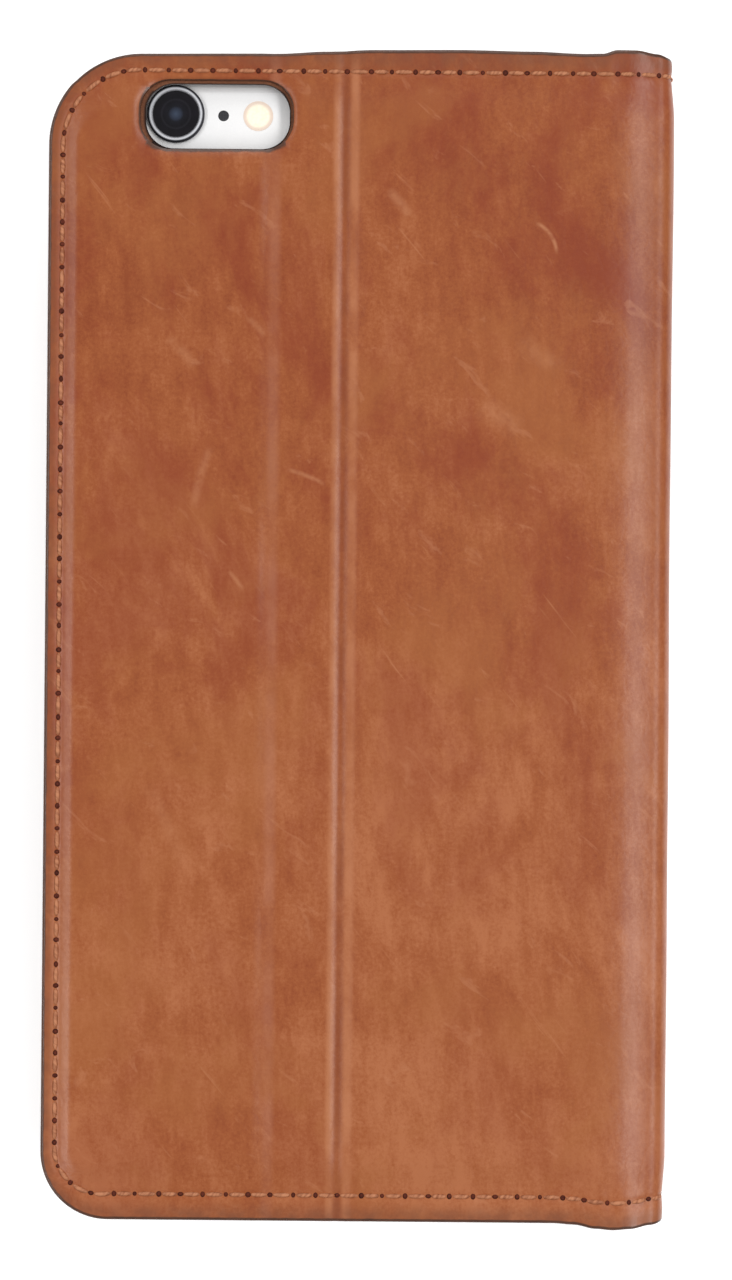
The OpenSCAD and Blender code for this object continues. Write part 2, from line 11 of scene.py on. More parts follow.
import bpy
import numpy as np
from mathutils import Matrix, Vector


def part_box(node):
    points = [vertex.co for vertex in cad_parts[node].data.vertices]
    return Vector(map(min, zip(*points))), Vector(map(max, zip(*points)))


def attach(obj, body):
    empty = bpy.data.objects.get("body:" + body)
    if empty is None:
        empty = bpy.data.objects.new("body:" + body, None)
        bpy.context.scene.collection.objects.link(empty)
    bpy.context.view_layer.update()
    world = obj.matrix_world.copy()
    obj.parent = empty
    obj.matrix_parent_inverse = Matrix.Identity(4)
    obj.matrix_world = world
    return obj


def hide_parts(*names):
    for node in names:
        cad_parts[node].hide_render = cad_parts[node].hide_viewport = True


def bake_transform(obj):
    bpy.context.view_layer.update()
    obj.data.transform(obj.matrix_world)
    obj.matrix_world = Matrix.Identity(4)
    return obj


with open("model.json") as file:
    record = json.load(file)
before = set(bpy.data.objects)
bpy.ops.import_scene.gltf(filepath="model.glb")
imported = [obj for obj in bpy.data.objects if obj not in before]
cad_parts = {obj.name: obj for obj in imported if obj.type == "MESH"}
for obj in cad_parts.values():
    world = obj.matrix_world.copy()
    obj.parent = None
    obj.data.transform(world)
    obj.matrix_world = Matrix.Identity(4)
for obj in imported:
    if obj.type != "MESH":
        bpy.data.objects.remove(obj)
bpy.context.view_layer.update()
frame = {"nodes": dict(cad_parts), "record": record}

MM = 0.001
NODES = frame["nodes"]


def box_mm(node):
    low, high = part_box(node)
    return np.array(low) / MM, np.array(high) / MM


# ---- Sizes, from the frame ----

FLAP_LOW, FLAP_HIGH = box_mm("flap_leather")
FREE_X = FLAP_LOW[0]
END_Y = FLAP_HIGH[1]
TOP_Z = FLAP_HIGH[2]
SPINE_X = box_mm("spine_leather")[1][0]
RING_LOW, RING_HIGH = box_mm("phone_camera_ring")
LENS_AT = (RING_LOW[:2] + RING_HIGH[:2]) / 2
RING_R = (RING_HIGH[0] - RING_LOW[0]) / 2
JOINT_X = {j["name"]: j["pos_m"][0] / MM for j in frame["record"]["behaviour"]["joints"] if "pos_m" in j}
FOLD_X, STRIP_X = JOINT_X["stand_fold"], JOINT_X["stand_flap_fold"]

# ---- Sizes, in millimetres ----

BOTTOM_CORNER_R, TOP_CORNER_R = 9.5, 13.0
SIDE_ROW, TOP_ROW, BOTTOM_ROW = 2.0, 2.5, 3.7  # from the edge to the stitch row
SIDE_STEP, TOP_STEP, BOTTOM_STEP = 4.2, 8.6, 9.4  # from the edge to the raised field
STEP_LEAD = 0.3  # from the stitch row to where the leather starts to rise
RIM_DROP, HINGE_DROP = 0.6, 0.3  # how far the rim lies below the field, and at the hinge
HINGE_FROM, HINGE_RUN = 35.5, 4.5
EDGE_R = 0.45
RIB = 0.05  # a soft swelling between the stitch row and the edge
PITCH = 3.15  # from stitch hole to stitch hole
PUCKER = 0.022
ROW_GROOVE, ROW_WIDTH = 0.17, 0.5  # of the groove the stitches lie in: depth, half width
SWELL_MAX = 0.115  # keeps the whole front cover above the floor

WINDOW_X, WINDOW_Y = -20.5, 73.2
WINDOW_HALF_X, WINDOW_HALF_Y = 10.7, 4.9
WINDOW_R = 4.2
WINDOW_EDGE_R = 0.35
WINDOW_DIP, WINDOW_DIP_REACH = 0.16, 1.7
GLASS_R = 3.4
WINDOW_FADE = 1.9  # how far round the window the grid lines bend
# the lining's window is smaller and shifted, so a ring of lining painted near black shows inside the
# leather's window: painted shade and a dark edge
LINING_SHIFT, LINING_SHRINK = (0.15, -0.10), (0.60, 0.38)

FLAT_X = 31.0  # where the curve of the outer face starts, at the second point of SECTION
FOLD_SEAM, FLAP_SEAM = 14.0, -7.75  # where the pieces of the back meet

# raised lips and trough of the main fold, and the faint second fold: place, half width, height
MAIN_FOLD = [(FOLD_X - 1.2, 0.8, 0.10), (FOLD_X + 1.7, 0.85, 0.10), (FOLD_X + 0.25, 0.75, -0.20)]
FAINT_FOLD = [(STRIP_X - 1.9, 1.6, 0.15), (STRIP_X, 1.1, -0.17)]

# the outer face of the back from the flat, over the soft shoulder and the hinge groove, to the middle of the
# spine: in from the spine's face, down from the top
SECTION = [
    (16.0, 0.0), (13.0, 0.0), (9.5, 0.03), (7.2, 0.17), (5.7, 0.40), (4.4, 0.70), (3.2, 1.06), (2.4, 1.34),
    (1.6, 1.59), (0.9, 2.02), (0.4, 2.75), (0.1, 3.8), (0.0, 5.3), (0.0, 8.25), (0.0, 11.2),
]
SPAN_STEPS = 60

# thickness along u: the leather, how far the lining lies under the outer face, and the lining
LEATHER_FULL = 1.1
LEATHER_T = [(34.3, LEATHER_FULL), (38.0, 0.75), (40.6, 0.6), (44.6, 0.62), (46.0, LEATHER_FULL)]
LINING_TOP = [(34.3, 1.7), (36.2, 1.6), (37.6, 1.4), (39.9, 0.8), (40.9, 0.6), (44.6, 0.64), (46.0, 1.5)]
LINING_T = [(37.6, 0.4), (40.4, 0.2), (44.6, 0.2), (46.0, 0.3)]
LINING_SINK = (37.0, 4.0)  # where the lining follows the rim down: from, run
INNER_RELIEF = 0.1  # the inner face of the leather follows the outer one up to here
PAINT_IN, PAINT_FADE, LINING_EDGE = 0.30, 0.45, 0.5
RIM_SHADE_IN, RIM_SHADE_SIDE, RIM_SHADE_END = 0.6, 1.3, 1.2  # how far in the rim is painted darker as shade, and more at an end


def catmull(points):
    """A dense curve through the points, without the first and last, which only lead in and out."""
    p = np.array(points, float)
    t = np.linspace(0, 1, SPAN_STEPS, endpoint=False)[:, None]
    out = []
    for a, b, c, d in zip(p, p[1:], p[2:], p[3:]):
        square, cube = 2 * a - 5 * b + 4 * c - d, 3 * b - 3 * c + d - a
        out.append(0.5 * (2 * b + (c - a) * t + square * t * t + cube * t ** 3))
    return np.vstack(out + [p[-2:-1]])


def path_length(points):
    """Distance from the start of a path to each of its points."""
    return np.concatenate([[0], np.cumsum(np.linalg.norm(np.diff(points, axis=0), axis=1))])


CURVE = catmull([(SPINE_X - back, TOP_Z - down) for back, down in SECTION])
CURVE_U = FLAT_X + path_length(CURVE)
CURVE_T = np.gradient(CURVE, CURVE_U, axis=0)
CURVE_T /= np.linalg.norm(CURVE_T, axis=1)[:, None]
MID_U = float(CURVE_U[-1])


def section(u):
    """Place (x, z) and outward normal of the outer face at u."""
    over = u > FLAT_X
    x = np.where(over, np.interp(u, CURVE_U, CURVE[:, 0]), u)
    z = np.where(over, np.interp(u, CURVE_U, CURVE[:, 1]), TOP_Z)
    tx = np.where(over, np.interp(u, CURVE_U, CURVE_T[:, 0]), 1.0)
    tz = np.where(over, np.interp(u, CURVE_U, CURVE_T[:, 1]), 0.0)
    size = np.hypot(tx, tz)
    return x, z, -tz / size, tx / size


def smooth(t):
    t = np.clip(t, 0, 1)
    return t * t * (3 - 2 * t)


def bell(x, centre, width):
    return np.exp(-(((x - centre) / width) ** 2))


def along(u, knots):
    """Linear interpolation between the knots."""
    return np.interp(u, [k[0] for k in knots], [k[1] for k in knots])


def ridges(u, shapes):
    return sum(high * bell(u, place, width) for place, width, high in shapes)


def edge_drop(distance, radius):
    """How far a rounded edge has fallen away, at a distance inside the outline."""
    inner = np.clip(radius - distance, 0, radius)
    return radius - np.sqrt(np.maximum(radius ** 2 - inner ** 2, 0))


def corner_at(x, y):
    """The radius of the nearer corner, and the way past its middle towards the free side and the end."""
    r = np.where(y > 0, TOP_CORNER_R, BOTTOM_CORNER_R)
    return r, FREE_X + r - x, np.abs(y) - (END_Y - r)


def rim_place(x, y, mapped=False):
    """Distance to the outline, and how far the nearest edge is an end (1) rather than the free side (0)."""
    r, a, b = corner_at(x, y)
    corner = (a > 0) & (b > 0)
    reach = np.hypot(a, b) if mapped else np.maximum(a, b)
    side, end = x - FREE_X, END_Y - np.abs(y)
    d = np.where(corner, r - reach, np.where(b > 0, end, np.where(a > 0, side, np.minimum(side, end))))
    turn = np.where(corner, b * b / np.maximum(a * a + b * b, 1e-9), np.where(b > 0, 1.0, 0.0))
    return d, turn


def rim_mix(turn, y, side, top, bottom):
    """A measure that differs between the free side, the top and the bottom."""
    return side + (np.where(y > 0, top, bottom) - side) * turn


def drop_at(u):
    return RIM_DROP + (HINGE_DROP - RIM_DROP) * smooth((u - HINGE_FROM) / HINGE_RUN)


def lining_sink(u):
    """How far the lining at the rim goes down with the leather, towards the spine."""
    return -drop_at(u) * smooth((u - LINING_SINK[0]) / LINING_SINK[1])


def window_distance(u, y):
    """How far outside the camera window's rounded outline."""
    wx = np.maximum(np.abs(u - WINDOW_X) - (WINDOW_HALF_X - WINDOW_R), 0)
    wy = np.maximum(np.abs(y - WINDOW_Y) - (WINDOW_HALF_Y - WINDOW_R), 0)
    return np.hypot(wx, wy) - WINDOW_R


def swell(u, y):
    """Slow unevenness of hand-worked leather."""
    return (0.050 * np.sin(u / 11.0 + 0.6) * np.sin(y / 17.0 + 1.1)
            + 0.030 * np.sin(u / 5.3 + y / 13.0) + 0.022 * np.sin(y / 6.1 - u / 9.0 + 2.0)
            + 0.012 * np.sin(u / 2.3 + 1.3 * np.sin(y / 9.0)) * np.sin(y / 21.0))


def height(u, y, d, turn, creases):
    """Outer face above the raised field, along the normal."""
    row = rim_mix(turn, y, SIDE_ROW, TOP_ROW, BOTTOM_ROW)
    step = rim_mix(turn, y, SIDE_STEP, TOP_STEP, BOTTOM_STEP)
    climb = np.clip((d - row - STEP_LEAD) / (step - row - STEP_LEAD), 0, 1)
    even = 0.7 * climb + 0.3 * smooth(climb)
    rise = smooth(climb) * turn + even * (1 - turn)
    h = -drop_at(u) * (1 - rise)
    pucker = np.cos(2 * math.pi * (u * turn + y * (1 - turn)) / PITCH)
    h = h + PUCKER * pucker * (bell(d, row + 1.1, 0.8) + bell(d, row - 0.8, 0.5))
    h = h - ROW_GROOVE * bell(d, row, ROW_WIDTH) + RIB * bell(d, row * 0.45, 0.6)
    h = h - edge_drop(d, EDGE_R)
    h = h + (swell(u, y) - (0 if creases else SWELL_MAX)) * smooth(d / 7)
    if creases:
        depth = 0.45 + 0.55 * rise
        uneven = 0.85 + 0.15 * np.sin(y / 8.0 + 0.4) * np.sin(y / 19.0)
        h = h + depth * uneven * ridges(u, MAIN_FOLD)
        faint = 0.62 + 0.38 * np.sin(y / 14.0 + 0.8) * np.sin(y / 5.7)
        h = h + depth * faint * ridges(u, FAINT_FOLD)
        from_hole = window_distance(u, y)
        h = h - WINDOW_DIP * smooth(1 - from_hole / WINDOW_DIP_REACH)
        h = h - edge_drop(from_hole, WINDOW_EDGE_R)
    return h


# how far the outline of the ends stands out from END_Y along X: the ends of the spine stand past the covers
TOP_OUTLINE = [
    (-34, -0.15), (-12, 0.0), (-5, 0.35), (2, 0.65), (14, 0.75), (24, 0.6), (31, 0.35), (33.6, 0.4),
    (35.8, 0.95), (38.5, 0.95), (41.5, 0.6), (43.5, 0.2), (44, 0.1),
]
BOTTOM_OUTLINE = [(22, 0.0), (28, 0.0), (31, 0.2), (34, 0.75), (36.5, 0.95), (39, 0.8), (42, 0.35), (44, 0.1)]
TOP_FROM, BOTTOM_FROM = 79.7, 68.0  # the Y from which the leather is pulled outward


def eased(x, knots):
    """Smooth interpolation between the knots."""
    k = np.array(knots, float)
    i = np.clip(np.searchsorted(k[:, 0], x) - 1, 0, len(k) - 2)
    t = smooth((x - k[i, 0]) / (k[i + 1, 0] - k[i, 0]))
    return k[i, 1] + (k[i + 1, 1] - k[i, 1]) * t


def outline_shift(x, y):
    top = eased(x, TOP_OUTLINE) * smooth((y - TOP_FROM) / (END_Y - TOP_FROM))
    bottom = -eased(x, BOTTOM_OUTLINE) * smooth((-y - BOTTOM_FROM) / (END_Y - BOTTOM_FROM))
    return np.where(y > 0, top, bottom)


def lines(*spans):
    """Grid lines: each span is (start, end, step), and the step is fitted."""
    out = [spans[0][0]]
    for start, end, step in spans:
        n = max(1, round(abs(end - start) / step))
        out += [start + (end - start) * (k + 1) / n for k in range(n)]
    return np.array(out)


# ---- Mesh helpers ----

def make_object(name, verts_mm, faces, material, sharp=(), **attributes):
    """Each attribute is a number or a vector for each vertex."""
    mesh = bpy.data.meshes.new(name)
    mesh.from_pydata([tuple(v) for v in np.asarray(verts_mm) * MM], [], faces)
    mesh.validate()
    mesh.polygons.foreach_set("use_smooth", [True] * len(mesh.polygons))
    if len(sharp):
        wanted = {tuple(sorted(e)) for e in sharp}
        flags = [tuple(sorted(e.vertices)) in wanted for e in mesh.edges]
        mesh.attributes.new("sharp_edge", "BOOLEAN", "EDGE").data.foreach_set("value", flags)
    for key, values in attributes.items():
        values = np.asarray(values, np.float32)
        kind, field = ("FLOAT", "value") if values.ndim == 1 else ("FLOAT_VECTOR", "vector")
        mesh.attributes.new(key, kind, "POINT").data.foreach_set(field, values.ravel())
    mesh.materials.append(material)
    obj = bpy.data.objects.new(name, mesh)
    bpy.context.collection.objects.link(obj)
    return obj


def closed_sheet(top, bottom, keep, flip):
    """Verts, faces and sharp edges of a solid between two grids of points, over the kept cells."""
    ny, nu = top.shape[:2]
    index = np.arange(ny * nu).reshape(ny, nu)
    used = np.zeros((ny, nu), bool)
    for dj in (0, 1):
        for di in (0, 1):
            used[dj:ny - 1 + dj, di:nu - 1 + di] |= keep
    order = -np.ones(ny * nu, int)
    order[index[used]] = np.arange(used.sum())
    count = int(used.sum())
    pad = np.zeros((ny + 1, nu + 1), bool)
    pad[1:-1, 1:-1] = keep
    faces, sharp = [], []
    for j, i in zip(*np.nonzero(keep)):
        a, b, c, d = (int(order[index[q]]) for q in ((j, i), (j, i + 1), (j + 1, i + 1), (j + 1, i)))
        faces.append((a, b, c, d))
        faces.append((d + count, c + count, b + count, a + count))
        for p, q, beyond in ((a, b, pad[j, i + 1]), (b, c, pad[j + 1, i + 2]), (c, d, pad[j + 2, i + 1]),
                             (d, a, pad[j + 1, i])):
            if not beyond:
                faces.append((q, p, p + count, q + count))
                sharp += [(p, q), (p + count, q + count)]
    if flip:
        faces = [f[::-1] for f in faces]
    verts = np.vstack([top[used], bottom[used]])
    return verts, faces, sharp, used


def round_corners(x, y):
    """Square shells in the two corner squares become round ones."""
    r, a, b = corner_at(x, y)
    corner = (a > 0) & (b > 0)
    size = np.maximum(np.hypot(a, b), 1e-9)
    k = np.where(corner, np.maximum(a, b) / size, 1.0)
    return np.where(corner, FREE_X + r - a * k, x), np.where(corner, np.sign(y) * (END_Y - r + b * k), y)


def round_window(x, y):
    """Grid lines near the window bend so that its corners are round."""
    a = np.abs(x - WINDOW_X) - (WINDOW_HALF_X - WINDOW_R)
    b = np.abs(y - WINDOW_Y) - (WINDOW_HALF_Y - WINDOW_R)
    near = (a > 0) & (b > 0)
    m = np.maximum(a, b)
    size = np.maximum(np.hypot(a, b), 1e-9)
    share = 1 - smooth((m - WINDOW_R) / WINDOW_FADE)
    k = np.where(near, 1 + (m / size - 1) * share, 1.0)
    x2 = np.where(near, WINDOW_X + np.sign(x - WINDOW_X) * (WINDOW_HALF_X - WINDOW_R + a * k), x)
    y2 = np.where(near, WINDOW_Y + np.sign(y - WINDOW_Y) * (WINDOW_HALF_Y - WINDOW_R + b * k), y)
    return x2, y2


def shrink_window(x, y):
    """The lining's opening shows inside the leather's, more at the free side and the top, as a near-black
    ring of painted shade and dark edge.
    """
    wx, wy = x - WINDOW_X, y - WINDOW_Y
    share = 1 - smooth(np.maximum(np.abs(wx) - WINDOW_HALF_X, np.abs(wy) - WINDOW_HALF_Y) / WINDOW_FADE)
    return (x + share * (LINING_SHIFT[0] - LINING_SHRINK[0] * wx / WINDOW_HALF_X),
            y + share * (LINING_SHIFT[1] - LINING_SHRINK[1] * wy / WINDOW_HALF_Y))


def face_point(u, y, offset, is_front):
    """The point at an offset outward from the outer face, rounded corners and outline included."""
    x, z, nx, nz = section(u)
    px, pz = x + nx * offset, z + nz * offset
    shift = outline_shift(x, y)
    cx, cy = round_corners(x, y)
    px = px + (cx - x)
    if is_front:
        pz = TOP_Z - pz
    return np.stack([px, cy + shift, pz], axis=-1)


def skin(name, material, us, ys, is_front, layer, window=False):
    """One closed piece of leather or lining over the grid of lines us and ys."""
    gu, gy = np.meshgrid(us, ys)
    keep = np.ones((len(ys) - 1, len(us) - 1), bool)
    if window:
        mu, my = (us[1:] + us[:-1]) / 2, (ys[1:] + ys[:-1]) / 2
        hole_u, hole_y = np.abs(mu - WINDOW_X) < WINDOW_HALF_X, np.abs(my - WINDOW_Y) < WINDOW_HALF_Y
        keep = ~(hole_y[:, None] & hole_u[None, :])
        gu, gy = round_window(gu, gy)
    d, turn = rim_place(gu, gy)
    if layer == "leather":
        outer = height(gu, gy, d, turn, creases=not is_front)
        inner = np.minimum(outer, INNER_RELIEF) - along(gu, LEATHER_T)
        edge = 1 - smooth((d - PAINT_IN) / PAINT_FADE)
    else:
        sink = lining_sink(gu) * (1 - smooth((d - 2.8) / 2.4))
        outer = sink - along(gu, LINING_TOP)
        inner = outer - along(gu, LINING_T)
        edge = 1 - smooth(d / LINING_EDGE)
    if window:
        edge = np.maximum(edge, 1 - smooth(window_distance(gu, gy) / WINDOW_EDGE_R))
    if window and layer == "lining":
        gu, gy = shrink_window(gu, gy)
    top, bottom = face_point(gu, gy, outer, is_front), face_point(gu, gy, inner, is_front)
    verts, faces, sharp, used = closed_sheet(top, bottom, keep, flip=is_front)
    place_u = 2 * MID_U - gu if is_front else gu
    place = np.stack([place_u, gy, np.zeros_like(gu)], axis=-1)[used]
    place = np.vstack([place, place + (0, 0, -LEATHER_FULL)])
    edges = np.concatenate([edge[used], np.where(edge[used] > 0.9, 1.0, 0.0)])
    # how strongly the rim is painted darker as shade
    rim = (1 - smooth((d - RIM_SHADE_IN) / (RIM_SHADE_SIDE + RIM_SHADE_END * turn)))[used]
    return make_object(name, verts, faces, material, sharp, leather_place=place, edge=edges,
                       rim=np.concatenate([rim, rim]))


# ---- Materials ----


def srgb(r, g, b):
    """Linear colour from 0 to 255 display values."""
    out = []
    for v in (r, g, b):
        v /= 255
        out.append(v / 12.92 if v <= 0.04045 else ((v + 0.055) / 1.055) ** 2.4)
    return (*out, 1.0)


class Look:
    """A node material being built: each method adds a node and returns its output."""

    def __init__(self, name, place=None):
        self.material = bpy.data.materials.new(name)
        self.material.use_nodes = True
        self.nodes, self.links = self.material.node_tree.nodes, self.material.node_tree.links
        self.shader = self.nodes["Principled BSDF"]
        if place:
            self.place = self.add("Attribute", {}, "Vector", attribute_name=place)
        else:
            metres = self.add("TexCoord", {}, "Object")
            self.place = self.add("VectorMath", {0: metres, "Scale": 1 / MM}, operation="SCALE")

    def put(self, socket, value):
        if isinstance(value, bpy.types.NodeSocket):
            self.links.new(value, socket)
        else:
            socket.default_value = value

    def add(self, kind, inputs, output=0, **settings):
        node = self.nodes.new("ShaderNode" + kind)
        for key, value in settings.items():
            setattr(node, key, value)
        for key, value in inputs.items():
            self.put(node.inputs[key], value)
        return node.outputs[output]

    def math(self, operation, *values):
        return self.add("Math", dict(enumerate(values)), operation=operation)

    def vector(self, operation, *values):
        output = "Value" if operation in ("LENGTH", "DOT_PRODUCT") else "Vector"
        return self.add("VectorMath", dict(enumerate(values)), output, operation=operation)

    def stretch(self, scale, turn=0.0):
        """The place turned about Z by turn degrees and scaled."""
        inputs = {"Vector": self.place, "Rotation": (0, 0, math.radians(turn)),
                  "Scale": [1 / v for v in scale]}
        return self.add("Mapping", inputs, vector_type="TEXTURE")

    def noise(self, scale, detail=4.0, rough=0.55, vector=None, distort=0.0, output="Fac"):
        inputs = {"Vector": vector or self.place, "Scale": scale, "Detail": detail, "Roughness": rough,
                  "Distortion": distort}
        return self.add("TexNoise", inputs, output)

    def cells(self, scale, feature="F1", vector=None, random=1.0):
        inputs = {"Vector": vector or self.place, "Scale": scale, "Randomness": random}
        return self.add("TexVoronoi", inputs, "Distance", feature=feature)

    def step(self, value, low, high, out_low=0.0, out_high=1.0):
        inputs = dict(enumerate((value, low, high, out_low, out_high)))
        return self.add("MapRange", inputs, interpolation_type="SMOOTHSTEP")

    def ramp(self, value, *stops):
        output = self.add("ValToRGB", {0: value})
        elements = output.node.color_ramp.elements
        while len(elements) < len(stops):
            elements.new(0.5)
        for element, (at, colour) in zip(elements, stops):
            element.position, element.color = at, colour
        return output

    def mix(self, share, a, b):
        return self.add("Mix", {"Factor": share, "A": a, "B": b}, "Result", data_type="RGBA")

    def bump(self, height_value, distance_mm, below=None):
        inputs = {"Height": height_value, "Distance": distance_mm * MM}
        if below:
            inputs["Normal"] = below
        return self.add("Bump", inputs)

    def attribute(self, name):
        return self.add("Attribute", {}, "Fac", attribute_name=name)

    def wander(self, scale, amount):
        """The place with a small wandering offset."""
        offset = self.noise(scale, 2.0, 0.5, output="Color")
        offset = self.add("VectorMath", {0: offset, "Scale": amount}, operation="SCALE")
        return self.vector("ADD", self.place, offset)

    def stroke(self, start, end, width, bow=0.0):
        """1 along a soft line from start to end on the leather, in millimetres, bowed sideways by bow."""
        (x0, y0), (x1, y1) = start, end
        length = math.hypot(x1 - x0, y1 - y0)
        ux, uy = (x1 - x0) / length, (y1 - y0) / length
        at = self.vector("SUBTRACT", self.place, (x0, y0, 0))
        run = self.math("DIVIDE", self.vector("DOT_PRODUCT", at, (ux, uy, 0)), length)
        off = self.vector("DOT_PRODUCT", at, (-uy, ux, 0))
        if bow:
            hump = self.math("MULTIPLY", self.math("MULTIPLY", run, self.math("SUBTRACT", 1.0, run)), 4 * bow)
            off = self.math("SUBTRACT", off, hump)
        across = self.step(self.math("ABSOLUTE", off), 0.0, width, 1.0, 0.0)
        ends = self.math("MULTIPLY", self.step(run, 0.0, 0.2), self.step(run, 0.8, 1.0, 1.0, 0.0))
        return self.math("MULTIPLY", across, ends)

    def finish(self, colour, roughness, normal=None, **values):
        self.put(self.shader.inputs["Base Color"], colour)
        self.put(self.shader.inputs["Roughness"], roughness)
        if normal is not None:
            self.links.new(normal, self.shader.inputs["Normal"])
        for key, value in values.items():
            self.shader.inputs[key.replace("_", " ")].default_value = value
        return self.material


RED_WAX, DRY_TAN, SCUFF, RUBBED = srgb(122, 46, 22), srgb(148, 86, 44), srgb(172, 112, 78), srgb(178, 120, 84)
# the first colour is painted shade along the rim; EDGE_PAINT is the edges' own paint
RIM_SHADE, EDGE_PAINT = srgb(112, 64, 42), (srgb(52, 32, 24), srgb(92, 58, 42))

# painted shade in the dark trough and painted highlights, with some burnish, on the lips of the main fold,
# and a painted highlight along the pale faint fold: place, half width, strength, colour
PAINTED_FOLD_LIGHT = [
    (FOLD_X + 0.35, 0.95, 0.60, srgb(116, 56, 30)),
    (FOLD_X - 0.85, 0.80, 0.60, srgb(172, 112, 76)),
    (FOLD_X + 1.65, 0.95, 0.60, srgb(172, 112, 78)),
    (STRIP_X + 0.60, 1.30, 0.32, srgb(164, 110, 88)),
]

# scuffs on the back: start, end, width, bow, strength
MARKS = [
    ((24.2, 58.5), (27.4, 53.8), 0.45, 0.8, 1.0),
    ((3.4, 63.0), (6.9, 58.8), 1.1, 0.2, 0.6),
    ((16.2, 32.8), (22.5, 28.7), 2.5, 0.5, 0.45),
    ((22.0, 42.4), (28.3, 38.0), 2.0, -0.4, 0.35),
    ((-23.3, 17.5), (-20.8, 27.0), 1.0, 0.3, 0.5),
    ((-27.5, 42.0), (-23.0, 37.5), 1.2, 0.3, 0.45),
    ((-16.0, 44.8), (-13.3, 41.9), 0.8, 0.2, 0.45),
    ((-18.4, 9.4), (-16.1, 6.4), 0.5, 0.1, 0.6),
    ((-10.4, 23.6), (-4.6, 21.3), 0.5, 0.2, 0.7),
    ((-30.0, -20.0), (-24.0, -33.0), 1.6, 0.5, 0.3),
]


def scuffs_and_fold_light(look, colour, rub):
    """Scuffs, and painted shade and highlights along the lines of the folds, on the outside of the leather.
    """
    along_u = look.add("SeparateXYZ", {0: look.place}, "X")
    for start, end, width, bow, share in MARKS:
        line = look.math("MULTIPLY", look.stroke(start, end, width, bow), 0.6 * share)
        broken = look.step(look.noise(0.5, 3), 0.35, 0.55, 0.35, 1.0)
        rub = look.math("MAXIMUM", rub, look.math("MULTIPLY", line, broken))
    colour = look.mix(rub, colour, RUBBED)
    # painted shade in the fold's trough, painted highlights on its lips and along the faint fold
    for place, width, share, tint in PAINTED_FOLD_LIGHT:
        near = look.math("ABSOLUTE", look.math("SUBTRACT", along_u, place))
        patchy = look.step(look.noise(0.10, 4, 0.6), 0.36, 0.62, 0.35 * share, share)
        fold_light_band = look.math("MULTIPLY", look.step(near, 0.15 * width, width, 1.0, 0.0), patchy)
        colour = look.mix(fold_light_band, colour, tint)
    return colour


def leather_look(name, dark, mid, light, with_scuffs_and_fold_light):
    """Waxed pull-up leather: clouded tan, paler where it is rubbed, redder where the wax is thick."""
    look = Look(name, "leather_place")
    clouds = look.noise(0.030, 8, 0.62, distort=0.3)
    patches = look.noise(0.22, 7, 0.70, look.stretch((1.0, 0.65, 1.0), 8), 0.4)
    streaks = look.noise(0.50, 6, 0.66, look.stretch((1.0, 0.22, 1.0), 4))
    fine = look.noise(1.9, 5, 0.78)
    tone = look.math("MULTIPLY", clouds, 0.30)
    for value, share in ((patches, 0.24), (streaks, 0.20), (fine, 0.26)):
        tone = look.math("MULTIPLY_ADD", value, share, tone)
    along_y = look.add("SeparateXYZ", {0: look.place}, "Y")
    tone = look.math("ADD", tone, look.step(along_y, 75.0, -75.0, -0.028, 0.036))
    colour = look.ramp(tone, (0.40, dark), (0.49, mid), (0.58, light))
    red = look.noise(0.055, 7, 0.70, look.stretch((1.0, 0.6, 1.0), 12), 0.4)
    more_at_top = look.step(along_y, -60.0, 40.0, 0.35, 1.0)
    red = look.math("MULTIPLY", look.step(red, 0.44, 0.62, 0.0, 0.60), more_at_top)
    colour = look.mix(red, colour, RED_WAX)
    tan = look.noise(0.045, 6, 0.66, look.stretch((0.8, 1.0, 1.0), 60), 0.3)
    colour = look.mix(look.step(tan, 0.46, 0.66, 0.0, 0.50), colour, DRY_TAN)
    hairs = look.step(look.noise(0.9, 3, 0.6, look.stretch((1.0, 0.05, 1.0), 38)), 0.66, 0.76, 0.0, 0.30)
    hairs = look.math("MULTIPLY", hairs, look.step(look.noise(0.05, 2), 0.45, 0.6))
    colour = look.mix(hairs, colour, light)
    scuffs = look.noise(0.33, 4, 0.7, look.stretch((1.0, 0.4, 1.0), 50), 0.8)
    colour = look.mix(look.step(scuffs, 0.60, 0.72, 0.0, 0.32), colour, SCUFF)
    # scuffs, and painted shade and highlights along the folds
    if with_scuffs_and_fold_light:
        colour = scuffs_and_fold_light(look, colour, hairs)
    edge = look.attribute("edge")
    worn = look.math("ADD", edge, look.math("MULTIPLY_ADD", look.noise(0.7, 3), 0.5, -0.25))
    # the rim is painted darker in patches: painted shade
    patchy_rim_shade = look.step(look.noise(0.5, 3), 0.3, 0.7, 0.35, 0.75)
    colour = look.mix(look.math("MULTIPLY", look.attribute("rim"), patchy_rim_shade), colour, RIM_SHADE)
    paint = look.mix(look.noise(0.4, 3), *EDGE_PAINT)
    colour = look.mix(look.step(worn, 0.45, 0.8), colour, paint)
    rough = look.step(tone, 0.38, 0.62, 0.39, 0.31)
    rough = look.math("SUBTRACT", rough, look.math("MULTIPLY", edge, 0.08))
    pores = look.cells(1.15, "SMOOTH_F1")
    wrinkles = look.cells(0.42, "DISTANCE_TO_EDGE", look.wander(0.5, 1.2))
    bump = look.bump(look.step(wrinkles, 0.0, 0.16), 0.006)
    bump = look.bump(pores, 0.012, below=bump)
    bump = look.bump(look.noise(5.0, 4, 0.65), 0.008, below=bump)
    return look.finish(colour, rough, bump, Specular_IOR_Level=0.34)


LEATHER = leather_look("leather_waxed_tan", srgb(126, 58, 24), srgb(143, 76, 38), srgb(160, 96, 60), True)
POCKET = leather_look("leather_pocket", srgb(120, 55, 20), srgb(138, 70, 31), srgb(152, 86, 47), False)


